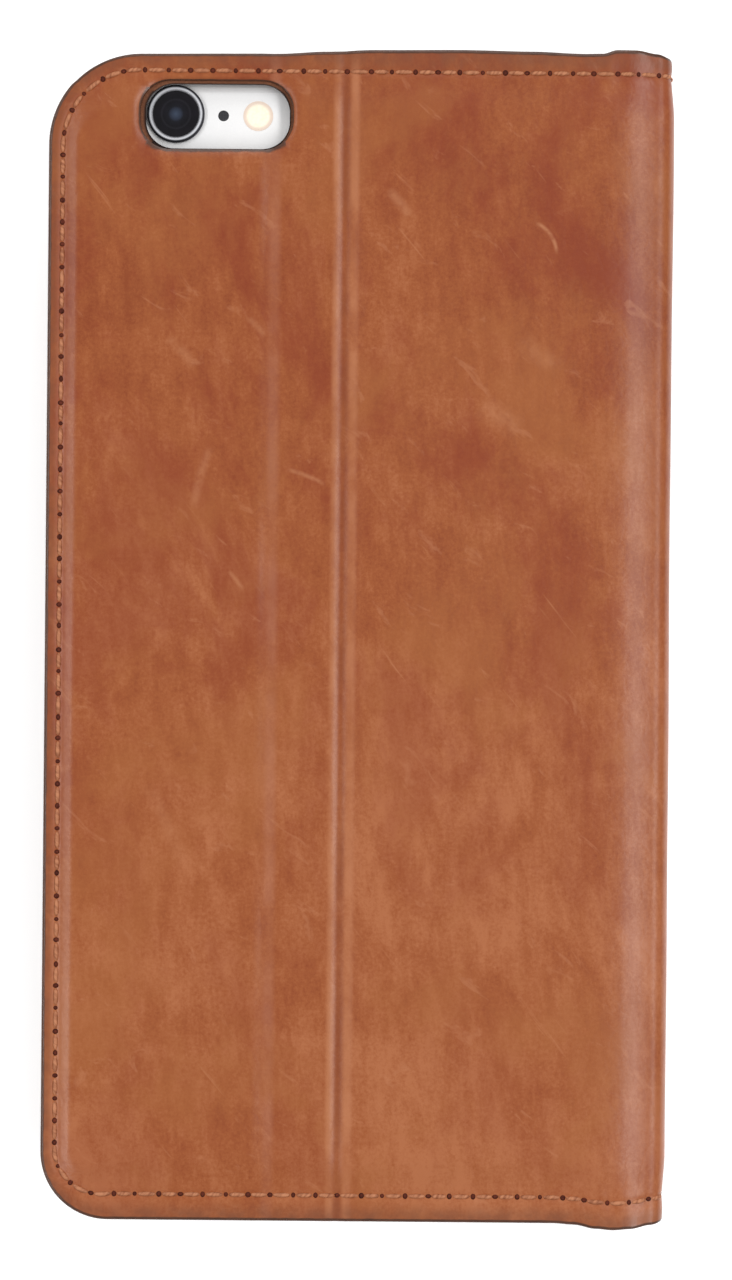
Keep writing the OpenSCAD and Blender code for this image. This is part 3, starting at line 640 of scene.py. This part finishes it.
def lining_look():
    look = Look("suede_lining", "leather_place")
    nap = look.noise(2.4, 6, 0.75)
    clouds = look.noise(0.06, 5, 0.65, distort=0.2)
    tone = look.math("MULTIPLY_ADD", nap, 0.6, look.math("MULTIPLY", clouds, 0.4))
    colour = look.ramp(tone, (0.35, srgb(96, 58, 40)), (0.5, srgb(122, 78, 55)), (0.66, srgb(147, 100, 73)))
    edge = look.attribute("edge")
    # the lining's edges are painted near black: a dark edge, and inside the camera window painted shade as
    # well
    colour = look.mix(look.step(edge, 0.3, 0.9), colour, srgb(38, 25, 22))
    bump = look.bump(look.noise(6.0, 3, 0.8), 0.05)
    return look.finish(colour, 0.92, bump, Sheen_Weight=0.35, Sheen_Roughness=0.4, Specular_IOR_Level=0.2)


def thread_look():
    look = Look("waxed_thread", "twist")
    twist = look.noise(1.0, 2, 0.5, look.stretch((2.2, 0.5, 1.0), 35))
    colour = look.ramp(twist, (0.3, srgb(130, 74, 46)), (0.6, srgb(176, 116, 82)))
    return look.finish(colour, 0.6, look.bump(twist, 0.05), Specular_IOR_Level=0.3)


def hole_look():
    look = Look("stitch_hole_shade", "twist")
    # the holes' dark colour is painted shade
    colour = look.ramp(look.noise(1.5, 3, 0.6), (0.35, srgb(62, 22, 12)), (0.65, srgb(98, 42, 26)))
    return look.finish(colour, 0.8, look.bump(look.noise(3.0, 2), 0.03), Specular_IOR_Level=0.2)


def board_look():
    look = Look("fibre_board")
    fibres = look.noise(1.8, 5, 0.7, look.stretch((1.0, 0.3, 1.0), 12))
    colour = look.ramp(fibres, (0.35, srgb(126, 116, 102)), (0.65, srgb(160, 150, 134)))
    return look.finish(colour, 0.9, look.bump(fibres, 0.04), Specular_IOR_Level=0.2)


def plastic_look(name, dark, light, rough, grain_mm, scale):
    """Moulded plastic or rubber with a fine spark-eroded grain."""
    look = Look(name)
    grain = look.noise(scale, 3, 0.7)
    colour = look.ramp(look.noise(0.25, 4, 0.6), (0.3, dark), (0.7, light))
    rough_value = look.step(look.noise(0.12, 4, 0.6), 0.3, 0.7, rough - 0.05, rough + 0.07)
    return look.finish(colour, rough_value, look.bump(grain, grain_mm), Specular_IOR_Level=0.4)


def metal_look(name, dark, light, rough, metallic=0.85):
    look = Look(name)
    grain = look.noise(7.0, 2, 0.6)
    cloud = look.noise(0.09, 3, 0.5)
    colour = look.ramp(look.math("MULTIPLY_ADD", grain, 0.25, look.math("MULTIPLY", cloud, 0.75)),
                       (0.3, dark), (0.7, light))
    rough_value = look.step(grain, 0.2, 0.8, rough - 0.04, rough + 0.06)
    return look.finish(colour, rough_value, look.bump(grain, 0.006), Metallic=metallic)


def radial(look, centre):
    """Distance from an axis along Z through centre, in millimetres."""
    from_axis = look.vector("SUBTRACT", look.place, (*centre, 0))
    return look.vector("LENGTH", look.vector("MULTIPLY", from_axis, (1, 1, 0)))


def ring_look():
    """Turned camera ring: a bright land between a dark outer chamfer and a dark inner wall, whose dark
    colours are painted shade, with fine turning lines.
    """
    look = Look("camera_ring_turned")
    r = radial(look, LENS_AT)
    share = look.math("DIVIDE", r, RING_R)
    wobble = look.math("MULTIPLY_ADD", look.noise(1.2, 2), 0.012, share)
    # the dark bands inside and outside the bright land are painted shade
    colour = look.ramp(wobble, (0.80, srgb(24, 24, 27)), (0.835, srgb(214, 216, 222)),
                       (0.90, srgb(232, 233, 238)), (0.945, srgb(70, 70, 76)))
    rough = look.step(wobble, 0.8, 0.95, 0.22, 0.42)
    turning = look.math("SINE", look.math("MULTIPLY", r, 60.0))
    return look.finish(colour, rough, look.bump(turning, 0.002), Metallic=0.75)


def lens_look():
    """Coated glass over the lens barrel: concentric dark rings, and a faint blue-grey centre and purple tint
    painted as reflections in the coating.
    """
    look = Look("camera_glass_coated")
    r = radial(look, LENS_AT)
    colour = look.ramp(look.math("DIVIDE", r, GLASS_R), (0.0, srgb(52, 62, 78)), (0.22, srgb(34, 40, 52)),
                       (0.32, srgb(12, 14, 18)), (0.52, srgb(6, 6, 8)), (0.60, srgb(20, 20, 23)),
                       (0.66, srgb(5, 5, 6)), (0.93, srgb(8, 8, 9)))
    reflection_and_rough_noise = look.noise(0.6, 3)
    # painted reflection: a faint purple tint from the coating
    colour = look.mix(look.math("MULTIPLY", reflection_and_rough_noise, 0.05), colour, srgb(96, 84, 110))
    return look.finish(colour, look.step(reflection_and_rough_noise, 0.3, 0.7, 0.05, 0.10), Specular_IOR_Level=0.3)


def flash_look():
    """Cream diffuser with a fine prism pattern and a warm pinkish rim."""
    low, high = box_mm("phone_flash_lens")
    look = Look("flash_diffuser")
    r = radial(look, ((low[0] + high[0]) / 2, (low[1] + high[1]) / 2))
    share = look.math("DIVIDE", r, (high[0] - low[0]) / 2)
    cells = look.cells(2.6)
    body = look.mix(look.math("MULTIPLY", cells, 0.5), srgb(250, 243, 224), srgb(240, 220, 184))
    colour = look.mix(look.step(share, 0.66, 0.9), body, srgb(222, 202, 186))
    rough = look.step(cells, 0.0, 0.6, 0.22, 0.34)
    return look.finish(colour, rough, look.bump(cells, 0.03), Coat_Weight=0.5, Coat_Roughness=0.08)


def glossy_look(name, scale, stretch, turn, dark, light, rough, bump_scale, coat):
    """Polished glass with a faint smear over it."""
    look = Look(name)
    smear = look.noise(scale, 5, 0.6, look.stretch(stretch, turn))
    colour = look.ramp(smear, (0.3, dark), (0.7, light))
    rough_value = look.step(smear, 0.35, 0.7, *rough)
    return look.finish(colour, rough_value, look.bump(look.noise(bump_scale, 2), 0.002), Coat_Weight=coat,
                       Coat_Roughness=0.03)


def mesh_look():
    look = Look("speaker_mesh")
    cells = look.cells(4.5, random=0.0)
    colour = look.ramp(cells, (0.25, srgb(6, 6, 7)), (0.5, srgb(46, 46, 50)))
    return look.finish(colour, 0.6, look.bump(cells, 0.05), Metallic=0.3)


THREAD, HOLE, LINING = thread_look(), hole_look(), lining_look()
HOUSING = metal_look("anodised_housing", srgb(228, 228, 229), srgb(244, 243, 242), 0.42, 0.35)
NODE_LOOKS = {
    "board": board_look(),
    "cradle": plastic_look("cradle_black", srgb(26, 26, 28), srgb(36, 36, 38), 0.5, 0.02, 4.0),
    "adhesive": plastic_look("foam_tape", srgb(196, 194, 184), srgb(214, 212, 202), 0.8, 0.06, 2.5),
    "phone_metal": HOUSING,
    "phone_front": glossy_look("phone_front_glass", 0.05, (1.0, 0.4, 1.0), 30, srgb(14, 14, 16),
                               srgb(24, 24, 27), (0.05, 0.16), 0.2, 0.8),
    "phone_display": glossy_look("phone_display", 0.04, (0.5, 1.0, 1.0), 55, srgb(8, 9, 13),
                                 srgb(17, 18, 24), (0.06, 0.2), 0.15, 0.9),
    "phone_button": plastic_look("home_button", srgb(22, 22, 24), srgb(30, 30, 33), 0.2, 0.004, 3.0),
    "phone_mesh": mesh_look(),
    "camera_ring": ring_look(),
    "camera_black": plastic_look("camera_barrel", srgb(8, 8, 9), srgb(16, 16, 18), 0.45, 0.01, 5.0),
    "camera_glass": lens_look(),
    "flash": flash_look(),
    "port_metal": metal_look("port_steel", srgb(150, 152, 156), srgb(178, 180, 184), 0.3),
}
SLOT_OF = {part["node"]: part["material_slot"] for part in frame["record"]["subparts"]}
for node, obj in NODES.items():
    look = NODE_LOOKS.get(SLOT_OF[node])
    if look:
        for slot in obj.material_slots:
            slot.material = look

# ---- Leather and lining skins ----


def y_lines(inset=0.0):
    edge = END_Y - inset
    low, high = WINDOW_Y - WINDOW_HALF_Y, WINDOW_Y + WINDOW_HALF_Y
    flat = WINDOW_HALF_Y - WINDOW_R
    up = lines((0.0, 64.0, 0.8), (64.0, low, 1.0), (low, WINDOW_Y - flat, 0.45),
               (WINDOW_Y - flat, WINDOW_Y + flat, 0.7), (WINDOW_Y + flat, high, 0.42),
               (high, edge - 0.5, 0.3), (edge - 0.5, edge - 0.2, 0.15), (edge - 0.2, edge, 0.07))
    down = lines((-edge, -edge + 0.2, 0.07), (-edge + 0.2, -edge + 0.5, 0.15),
                 (-edge + 0.5, -edge + 6.5, 0.3), (-edge + 6.5, 0.0, 0.8))
    return np.concatenate([down, up[1:]])


FINE_END = FREE_X + 5.2  # the grid lines lie close together from the free side to here


def free_edge(inset=0.0):
    x = FREE_X + inset
    return [(x, x + 0.2, 0.07), (x + 0.2, x + 0.5, 0.15), (x + 0.5, FINE_END, 0.35)]


WINDOW_LEFT, WINDOW_RIGHT = WINDOW_X - WINDOW_HALF_X, WINDOW_X + WINDOW_HALF_X
FAINT_FROM = STRIP_X - 1.8
CREASE_FROM, CREASE_TO = FOLD_X - 2.2, FOLD_X + 2.4
FLAP_U = lines(*free_edge(), (FINE_END, WINDOW_LEFT, 0.6), (WINDOW_LEFT, WINDOW_LEFT + WINDOW_R, 0.42),
               (WINDOW_LEFT + WINDOW_R, FAINT_FROM, 0.7), (FAINT_FROM, WINDOW_RIGHT - WINDOW_R, 0.25),
               (WINDOW_RIGHT - WINDOW_R, WINDOW_RIGHT, 0.3), (WINDOW_RIGHT, FLAP_SEAM, 0.4))
FOLD_U = lines((FLAP_SEAM, CREASE_FROM, 0.4), (CREASE_FROM, CREASE_TO, 0.16), (CREASE_TO, FOLD_SEAM, 0.8))
BACK_U = lines((FOLD_SEAM, FLAT_X, 0.9), (FLAT_X, MID_U, 0.25))
FRONT_U = lines(*free_edge(), (FINE_END, FLAT_X, 1.3), (FLAT_X, MID_U, 0.3))
Y_LINES = y_lines()
LINING_INSET = 0.3
LINING_Y = y_lines(LINING_INSET)
LINING_EDGE_U = lines(*free_edge(LINING_INSET))
LINING_FLAP_U = np.concatenate([LINING_EDGE_U, FLAP_U[FLAP_U > FINE_END + 0.1]])
LINING_FRONT_U = np.concatenate([LINING_EDGE_U, FRONT_U[FRONT_U > FINE_END + 0.1]])


REPLACED = {"front": ["front"], "back": ["back", "spine"], "fold": ["strip"], "flap": ["flap"]}
GRIDS = {
    "front": (FRONT_U, LINING_FRONT_U), "back": (BACK_U, BACK_U), "fold": (FOLD_U, FOLD_U),
    "flap": (FLAP_U, LINING_FLAP_U),
}


def bend(obj):
    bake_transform(obj)


def flat_area(us, part):
    """Length along u, height, and area of the cut before it was shaped."""
    width, length = us[-1] - us[0], 2 * END_Y
    area = width * length
    if part in ("front", "flap"):
        area -= (1 - math.pi / 4) * (BOTTOM_CORNER_R ** 2 + TOP_CORNER_R ** 2)
    if part == "flap":
        area -= 4 * WINDOW_HALF_X * WINDOW_HALF_Y - (4 - math.pi) * WINDOW_R ** 2
    return (width * MM, length * MM), area * MM * MM


for part, (leather_u, lining_u) in GRIDS.items():
    is_front, window = part == "front", part == "flap"
    for layer, material, us, ys in (("leather", LEATHER, leather_u, Y_LINES),
                                    ("lining", LINING, lining_u, LINING_Y)):
        obj = skin(f"{part}_{layer}_skin", material, us, ys, is_front, layer, window)
        bend(obj)
        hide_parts(*[f"{name}_{layer}" for name in REPLACED[part]])
        flat, area = flat_area(us, part)

# ---- Stitching ----

STITCH_R, STITCH_GAP = 0.33, 0.40  # thread radius, and from the hole's middle to the thread's end
THREAD_SINK, THREAD_ARCH = 0.20, 0.24  # how deep its ends lie, and how far its middle stands above them
RINGS, SIDES = 9, 7
HOLE_R, HOLE_SIDES = 0.36, 12
HOLE_DOME, HOLE_RIM, HOLE_DEPTH = 0.045, 0.03, 0.12
CASH_LOW, CASH_HIGH = box_mm("cash_pocket_panel")
CASH_MOUTH = CASH_HIGH[0]
POCKET_T = CASH_HIGH[2] - CASH_LOW[2]


def at_run(points, run, s):
    return np.interp(s, run, points[:, 0]), np.interp(s, run, points[:, 1])


def corner_arc(sign, r, row):
    """The stitch row round a corner, from the end to the free side: its distance to the edge changes."""
    arc = []
    for t in np.linspace(0, 1, 40):
        reach = r - row + (row - SIDE_ROW) * t
        angle = t * math.pi / 2
        arc.append((FREE_X + r - reach * math.sin(angle), sign * (END_Y - r + reach * math.cos(angle))))
    return arc


def seam_path():
    """The stitch row round one cover, from the middle of the spine along the top, free side and bottom."""
    points = [(u, END_Y - TOP_ROW) for u in np.arange(MID_U - 0.6, FREE_X + TOP_CORNER_R, -0.4)]
    points += corner_arc(1, TOP_CORNER_R, TOP_ROW)
    side = np.arange(END_Y - TOP_CORNER_R - 0.5, BOTTOM_CORNER_R - END_Y, -0.5)
    points += [(FREE_X + SIDE_ROW, y) for y in side]
    points += corner_arc(-1, BOTTOM_CORNER_R, BOTTOM_ROW)[::-1]
    points += [(u, BOTTOM_ROW - END_Y) for u in np.arange(FREE_X + BOTTOM_CORNER_R + 0.4, MID_U - 0.6, 0.4)]
    points = np.array(points)
    return points, path_length(points)


def on_seam(u, y, lift, is_front, inside):
    """Place and outward normal of points of a stitch row, on the outer or the inner face."""
    d, turn = rim_place(u, y, mapped=True)
    x, z, nx, nz = section(u)
    if inside:
        offset = lining_sink(u) - along(u, LINING_TOP) - along(u, LINING_T) - lift
        if is_front:
            offset = offset - np.where(u < CASH_MOUTH - 0.5, POCKET_T, 0.0)
    else:
        offset = height(u, y, d, turn, creases=not is_front) + lift
    shift = outline_shift(x, y)
    px, pz = x + nx * offset, z + nz * offset
    sign = -1.0 if inside else 1.0
    normal = np.stack([nx * sign, np.zeros_like(nx), nz * sign], axis=-1)
    if is_front:
        pz = TOP_Z - pz
        normal[..., 2] *= -1
    return np.stack([px, y + shift, pz], axis=-1), normal


def tubes(centres, normals, radii):
    """Closed tubes along the rows of centres, which are (count, RINGS, 3)."""
    tangents = np.gradient(centres, axis=1)
    tangents /= np.linalg.norm(tangents, axis=2)[..., None]
    across = np.cross(normals, tangents)
    across /= np.linalg.norm(across, axis=2)[..., None]
    up = np.cross(tangents, across)
    verts, faces, twist = [], [], []
    angles = np.arange(SIDES) * 2 * math.pi / SIDES
    for k in range(len(centres)):
        base = len(verts)
        for i in range(RINGS):
            for angle in angles:
                out = math.cos(angle) * across[k, i] + math.sin(angle) * up[k, i]
                verts.append(centres[k, i] + radii[i] * out)
                twist.append((k * PITCH + i * PITCH / RINGS, angle * STITCH_R, 0.0))
        for i in range(RINGS - 1):
            for s in range(SIDES):
                a, b = base + i * SIDES + s, base + i * SIDES + (s + 1) % SIDES
                faces.append((a, b, b + SIDES, a + SIDES))
        faces.append(tuple(base + s for s in range(SIDES))[::-1])
        faces.append(tuple(base + (RINGS - 1) * SIDES + s for s in range(SIDES)))
    return verts, [f[::-1] for f in faces], twist


def make_threads(name, points, run, place, holes, keep):
    t = np.linspace(0, 1, RINGS)
    s = holes[:-1, None] + STITCH_GAP + (np.diff(holes)[:, None] - 2 * STITCH_GAP) * t
    u, y = at_run(points, run, s)
    mask = keep(u.mean(axis=1))
    arch = np.sin(np.pi * t) ** 0.45
    centres, normals = place(u[mask], y[mask], THREAD_ARCH * arch - THREAD_SINK)
    verts, faces, twist = tubes(centres, normals, STITCH_R * (0.45 + 0.55 * arch))
    return make_object(f"{name}_stitches", verts, faces, THREAD, twist=twist)


def make_holes(name, points, run, place, holes, keep):
    """Low domes painted dark as the shade inside the stitch holes, whose rims follow the sides of the groove.
    """
    (hu, hy), (au, ay) = at_run(points, run, holes), at_run(points, run, holes + 0.1)
    mask = keep(hu)
    level = np.zeros(mask.sum())
    centre, normal = place(hu[mask], hy[mask], level)
    ahead = place(au[mask], ay[mask], level)[0] - centre
    ahead /= np.linalg.norm(ahead, axis=1)[:, None]
    side = np.cross(normal, ahead)
    verts, faces, twist = [], [], []
    for k in range(len(centre)):
        base = len(verts)
        length = HOLE_R * (1 + 0.18 * math.sin(k * 1.7))
        width = HOLE_R * (1 + 0.15 * math.sin(k * 2.9 + 1))
        verts.append(centre[k] + HOLE_DOME * normal[k])
        verts.append(centre[k] - HOLE_DEPTH * normal[k])
        for s in range(HOLE_SIDES):
            angle = 2 * math.pi * s / HOLE_SIDES
            reach = width * math.sin(angle)
            lift = HOLE_RIM + ROW_GROOVE * (1 - math.exp(-((reach / ROW_WIDTH) ** 2)))
            verts.append(centre[k] + length * math.cos(angle) * ahead[k] + reach * side[k] + lift * normal[k])
        for s in range(HOLE_SIDES):
            p, q = base + 2 + s, base + 2 + (s + 1) % HOLE_SIDES
            faces += [(base, p, q), (base + 1, q, p)]
        twist += [(k * PITCH, 0.1 * i, 0.0) for i in range(HOLE_SIDES + 2)]
    return make_object(f"{name}_holes", verts, faces, HOLE, twist=twist)


def make_stitches(name, points, run, place, ends, keep):
    """Threads and holes along a path: place(u, y, lift) gives points and normals, keep(u) chooses them."""
    holes = np.arange(ends[0], ends[1], PITCH)
    jitter = 0.10 * np.sin(holes * 2.7) + 0.06 * np.sin(holes * 1.13 + 1)
    holes = holes + jitter
    pair = [make(name, points, run, place, holes, keep) for make in (make_threads, make_holes)]
    return pair


SEAM, RUN = seam_path()
PARTS_U = {
    "flap": (-math.inf, FLAP_SEAM), "fold": (FLAP_SEAM, FOLD_SEAM), "back": (FOLD_SEAM, math.inf),
    "front": (-math.inf, math.inf),
}
for part, (low_u, high_u) in PARTS_U.items():
    for face in ("outer", "inner"):
        place = partial(on_seam, is_front=part == "front", inside=face == "inner")
        thread, dots = make_stitches(f"{part}_{face}", SEAM, RUN, place, (1.0, RUN[-1] - 1.0),
                                     lambda u: (u > low_u) & (u <= high_u))
        bend(thread)
        bend(dots)
        if face == "outer":
            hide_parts(*[f"{name}_thread" for name in REPLACED[part]])

# ---- Pockets ----

PANEL_EDGE_R = 0.22
MOUTH_LINE, MOUTH_DEPTH = 2.2, 0.10  # the creased line along a pocket's mouth
THUMB_R, THUMB_REACH = 9.0, 16.0  # the thumb notch, and how far from the mouth the grid bends for it
CARD_CORNER_R = 2.0
CASH_INSET = 1.0
POCKET_ROW = 1.5


def panel_lines(x0, x1, half, thumb):
    """Grid lines of a pocket, closer together at its edges."""
    us = lines((x0, x0 + 0.08, 0.08), (x0 + 0.08, x0 + 0.3, 0.11), (x0 + 0.3, x0 + 3, 0.9),
               (x0 + 3, x1 - 4, 2.0), (x1 - 4, x1 - 1.4, 0.3), (x1 - 1.4, x1 - 0.3, 0.35),
               (x1 - 0.3, x1 - 0.08, 0.11), (x1 - 0.08, x1, 0.08))
    up = lines((thumb, half - 3, 2.2), (half - 3, half - 0.3, 0.9), (half - 0.3, half - 0.08, 0.11),
               (half - 0.08, half, 0.08))
    if thumb:
        notch = thumb * np.sin(np.linspace(0, math.pi / 2, 22))
        up = np.concatenate([notch[:-1], up])
    return us, np.concatenate([-up[:0:-1], up])


def pocket_panel(node, bottom_r, top_r, material, thumb=0.0):
    """A card or note pocket with rounded edges, a creased line along its mouth, maybe a thumb notch."""
    (x0, _, z0), (x1, half, z1) = box_mm(node)
    us, ys = panel_lines(x0, x1, half, thumb)
    gu, gy = np.meshgrid(us, ys)
    to_mouth = x1 - gu
    cut = np.sqrt(np.maximum(thumb ** 2 - gy ** 2, 0))
    px = gu - cut * smooth((gu - (x1 - THUMB_REACH)) / THUMB_REACH) ** 0.8
    corner_r = np.where(gy > 0, top_r, bottom_r)
    a, b = x0 + corner_r - gu, np.abs(gy) - (half - corner_r)
    corner = (a > 0) & (b > 0)
    m, size = np.maximum(a, b), np.maximum(np.hypot(a, b), 1e-9)
    px = np.where(corner, x0 + corner_r - a * m / size, px)
    py = np.where(corner, np.sign(gy) * (half - corner_r + b * m / size), gy)
    d = np.minimum(np.minimum(gu - x0, half - np.abs(gy)), to_mouth)
    drop = edge_drop(d, PANEL_EDGE_R)
    wave = 0.03 * np.sin(gu / 6.0) * np.sin(gy / 8.0) + 0.02 * np.sin(gy / 3.7 + gu / 5)
    top = z1 - drop - MOUTH_DEPTH * bell(to_mouth, MOUTH_LINE, 0.28) + smooth(d / 6) * wave
    whole = np.ones((len(ys) - 1, len(us) - 1), bool)
    verts, faces, sharp, used = closed_sheet(np.stack([px, py, top], -1), np.stack([px, py, z0 + drop], -1),
                                             whole, False)
    edge = 1 - smooth((d - 0.05) / 0.3)
    place = np.stack([px + 7 * z1, py + 31 * z0, np.zeros_like(gu)], -1)[used]
    obj = make_object(f"{node}_sheet", verts, faces, material, sharp, leather_place=np.vstack([place, place]),
                      edge=np.concatenate([edge[used], edge[used]]))
    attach(obj, "front_cover")
    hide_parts(node)


pocket_panel("cash_pocket_panel", BOTTOM_CORNER_R - CASH_INSET, TOP_CORNER_R - CASH_INSET, LINING, THUMB_R)
CARD_NODES = ["card_pocket_1", "card_pocket_2", "card_pocket_3"]
for node in CARD_NODES:
    pocket_panel(node, CARD_CORNER_R, CARD_CORNER_R, POCKET)

card_boxes = [box_mm(node) for node in CARD_NODES]
mouths, levels = [high[0] for low, high in card_boxes], [high[2] for low, high in card_boxes]
row_x, row_y = card_boxes[0][0][0] + POCKET_ROW, card_boxes[0][1][1] - POCKET_ROW
row_end = mouths[0] - 1.2
corners = [(row_end, row_y), (row_x, row_y), (row_x, -row_y), (row_end, -row_y)]
pocket_row = np.vstack([np.linspace(p, q, 200) for p, q in zip(corners, corners[1:])])
pocket_run = path_length(pocket_row)


def on_pocket(u, y, lift):
    z = np.where(u < mouths[2], levels[2], np.where(u < mouths[1], levels[1], levels[0]))
    normal = np.zeros(u.shape + (3, ))
    normal[..., 2] = 1.0
    return np.stack([u, y, z + lift], axis=-1), normal


def off_steps(u):
    """No stitch lies across the mouth of a pocket."""
    return (np.abs(u - mouths[2]) > 1.0) & (np.abs(u - mouths[1]) > 1.0)


thread, dots = make_stitches("pocket", pocket_row, pocket_run, on_pocket, (0.4, pocket_run[-1]), off_steps)
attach(thread, "front_cover")
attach(dots, "front_cover")
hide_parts("pocket_thread")

# ---- Floor, light and camera ----


def floor_look():
    look = Look("studio_floor")
    cloud = look.noise(0.004, 3, 0.5)
    colour = look.ramp(cloud, (0.3, (0.95, 0.95, 0.95, 1)), (0.7, (0.97, 0.97, 0.97, 1)))
    return look.finish(colour, 0.85, Specular_IOR_Level=0.1, Emission_Color=WHITE,
                       Emission_Strength=FLOOR_GLOW)


WHITE = (1.0, 1.0, 1.0, 1)
FLOOR_GLOW, WORLD_STRENGTH = 0.32, 0.42
FLOOR_HALF, FLOOR_GAP = 4000.0, 0.05
square = [(-1, -1), (1, -1), (1, 1), (-1, 1)]
floor_corners = [(x * FLOOR_HALF, y * FLOOR_HALF, -FLOOR_GAP) for x, y in square]
floor = make_object("floor", floor_corners, [(0, 1, 2, 3)], floor_look())

world = bpy.data.worlds.new("studio")
bpy.context.scene.world = world
world.use_nodes = True
background = world.node_tree.nodes["Background"]
background.inputs["Color"].default_value = WHITE
background.inputs["Strength"].default_value = WORLD_STRENGTH


def area_light(name, place_mm, aim_mm, size_mm, watts):
    data = bpy.data.lights.new(name, "AREA")
    data.shape = "RECTANGLE"
    data.size, data.size_y = size_mm[0] * MM, size_mm[1] * MM
    data.energy = watts
    obj = bpy.data.objects.new(name, data)
    bpy.context.collection.objects.link(obj)
    at, aim = Vector(place_mm) * MM, Vector(aim_mm) * MM
    obj.location = at
    obj.rotation_euler = (aim - at).to_track_quat("-Z", "Y").to_euler()


area_light("light_right", (420, 20, 650), (30, 0, 10), (1100, 130), 4.7)
area_light("light_left", (-520, -40, 560), (-20, 0, 10), (1100, 90), 3.2)
area_light("light_top", (0, 900, 600), (0, 0, 0), (500, 300), 2.2)

CAMERA_AT = (1.09, -0.28, 446.5)
PICTURE_HEIGHT_MM = 179.2
CAMERA_ROLL = 0.5
camera = bpy.data.objects.new("camera", bpy.data.cameras.new("camera"))
bpy.context.collection.objects.link(camera)
camera.location = [v * MM for v in CAMERA_AT]
camera.rotation_euler = (0, 0, math.radians(CAMERA_ROLL))
camera.data.sensor_fit = "VERTICAL"
camera.data.angle = 2 * math.atan(PICTURE_HEIGHT_MM / 2 / (CAMERA_AT[2] - TOP_Z))
camera.data.clip_start = 0.01
bpy.context.scene.camera = camera
bpy.context.scene.view_settings.view_transform = "Standard"
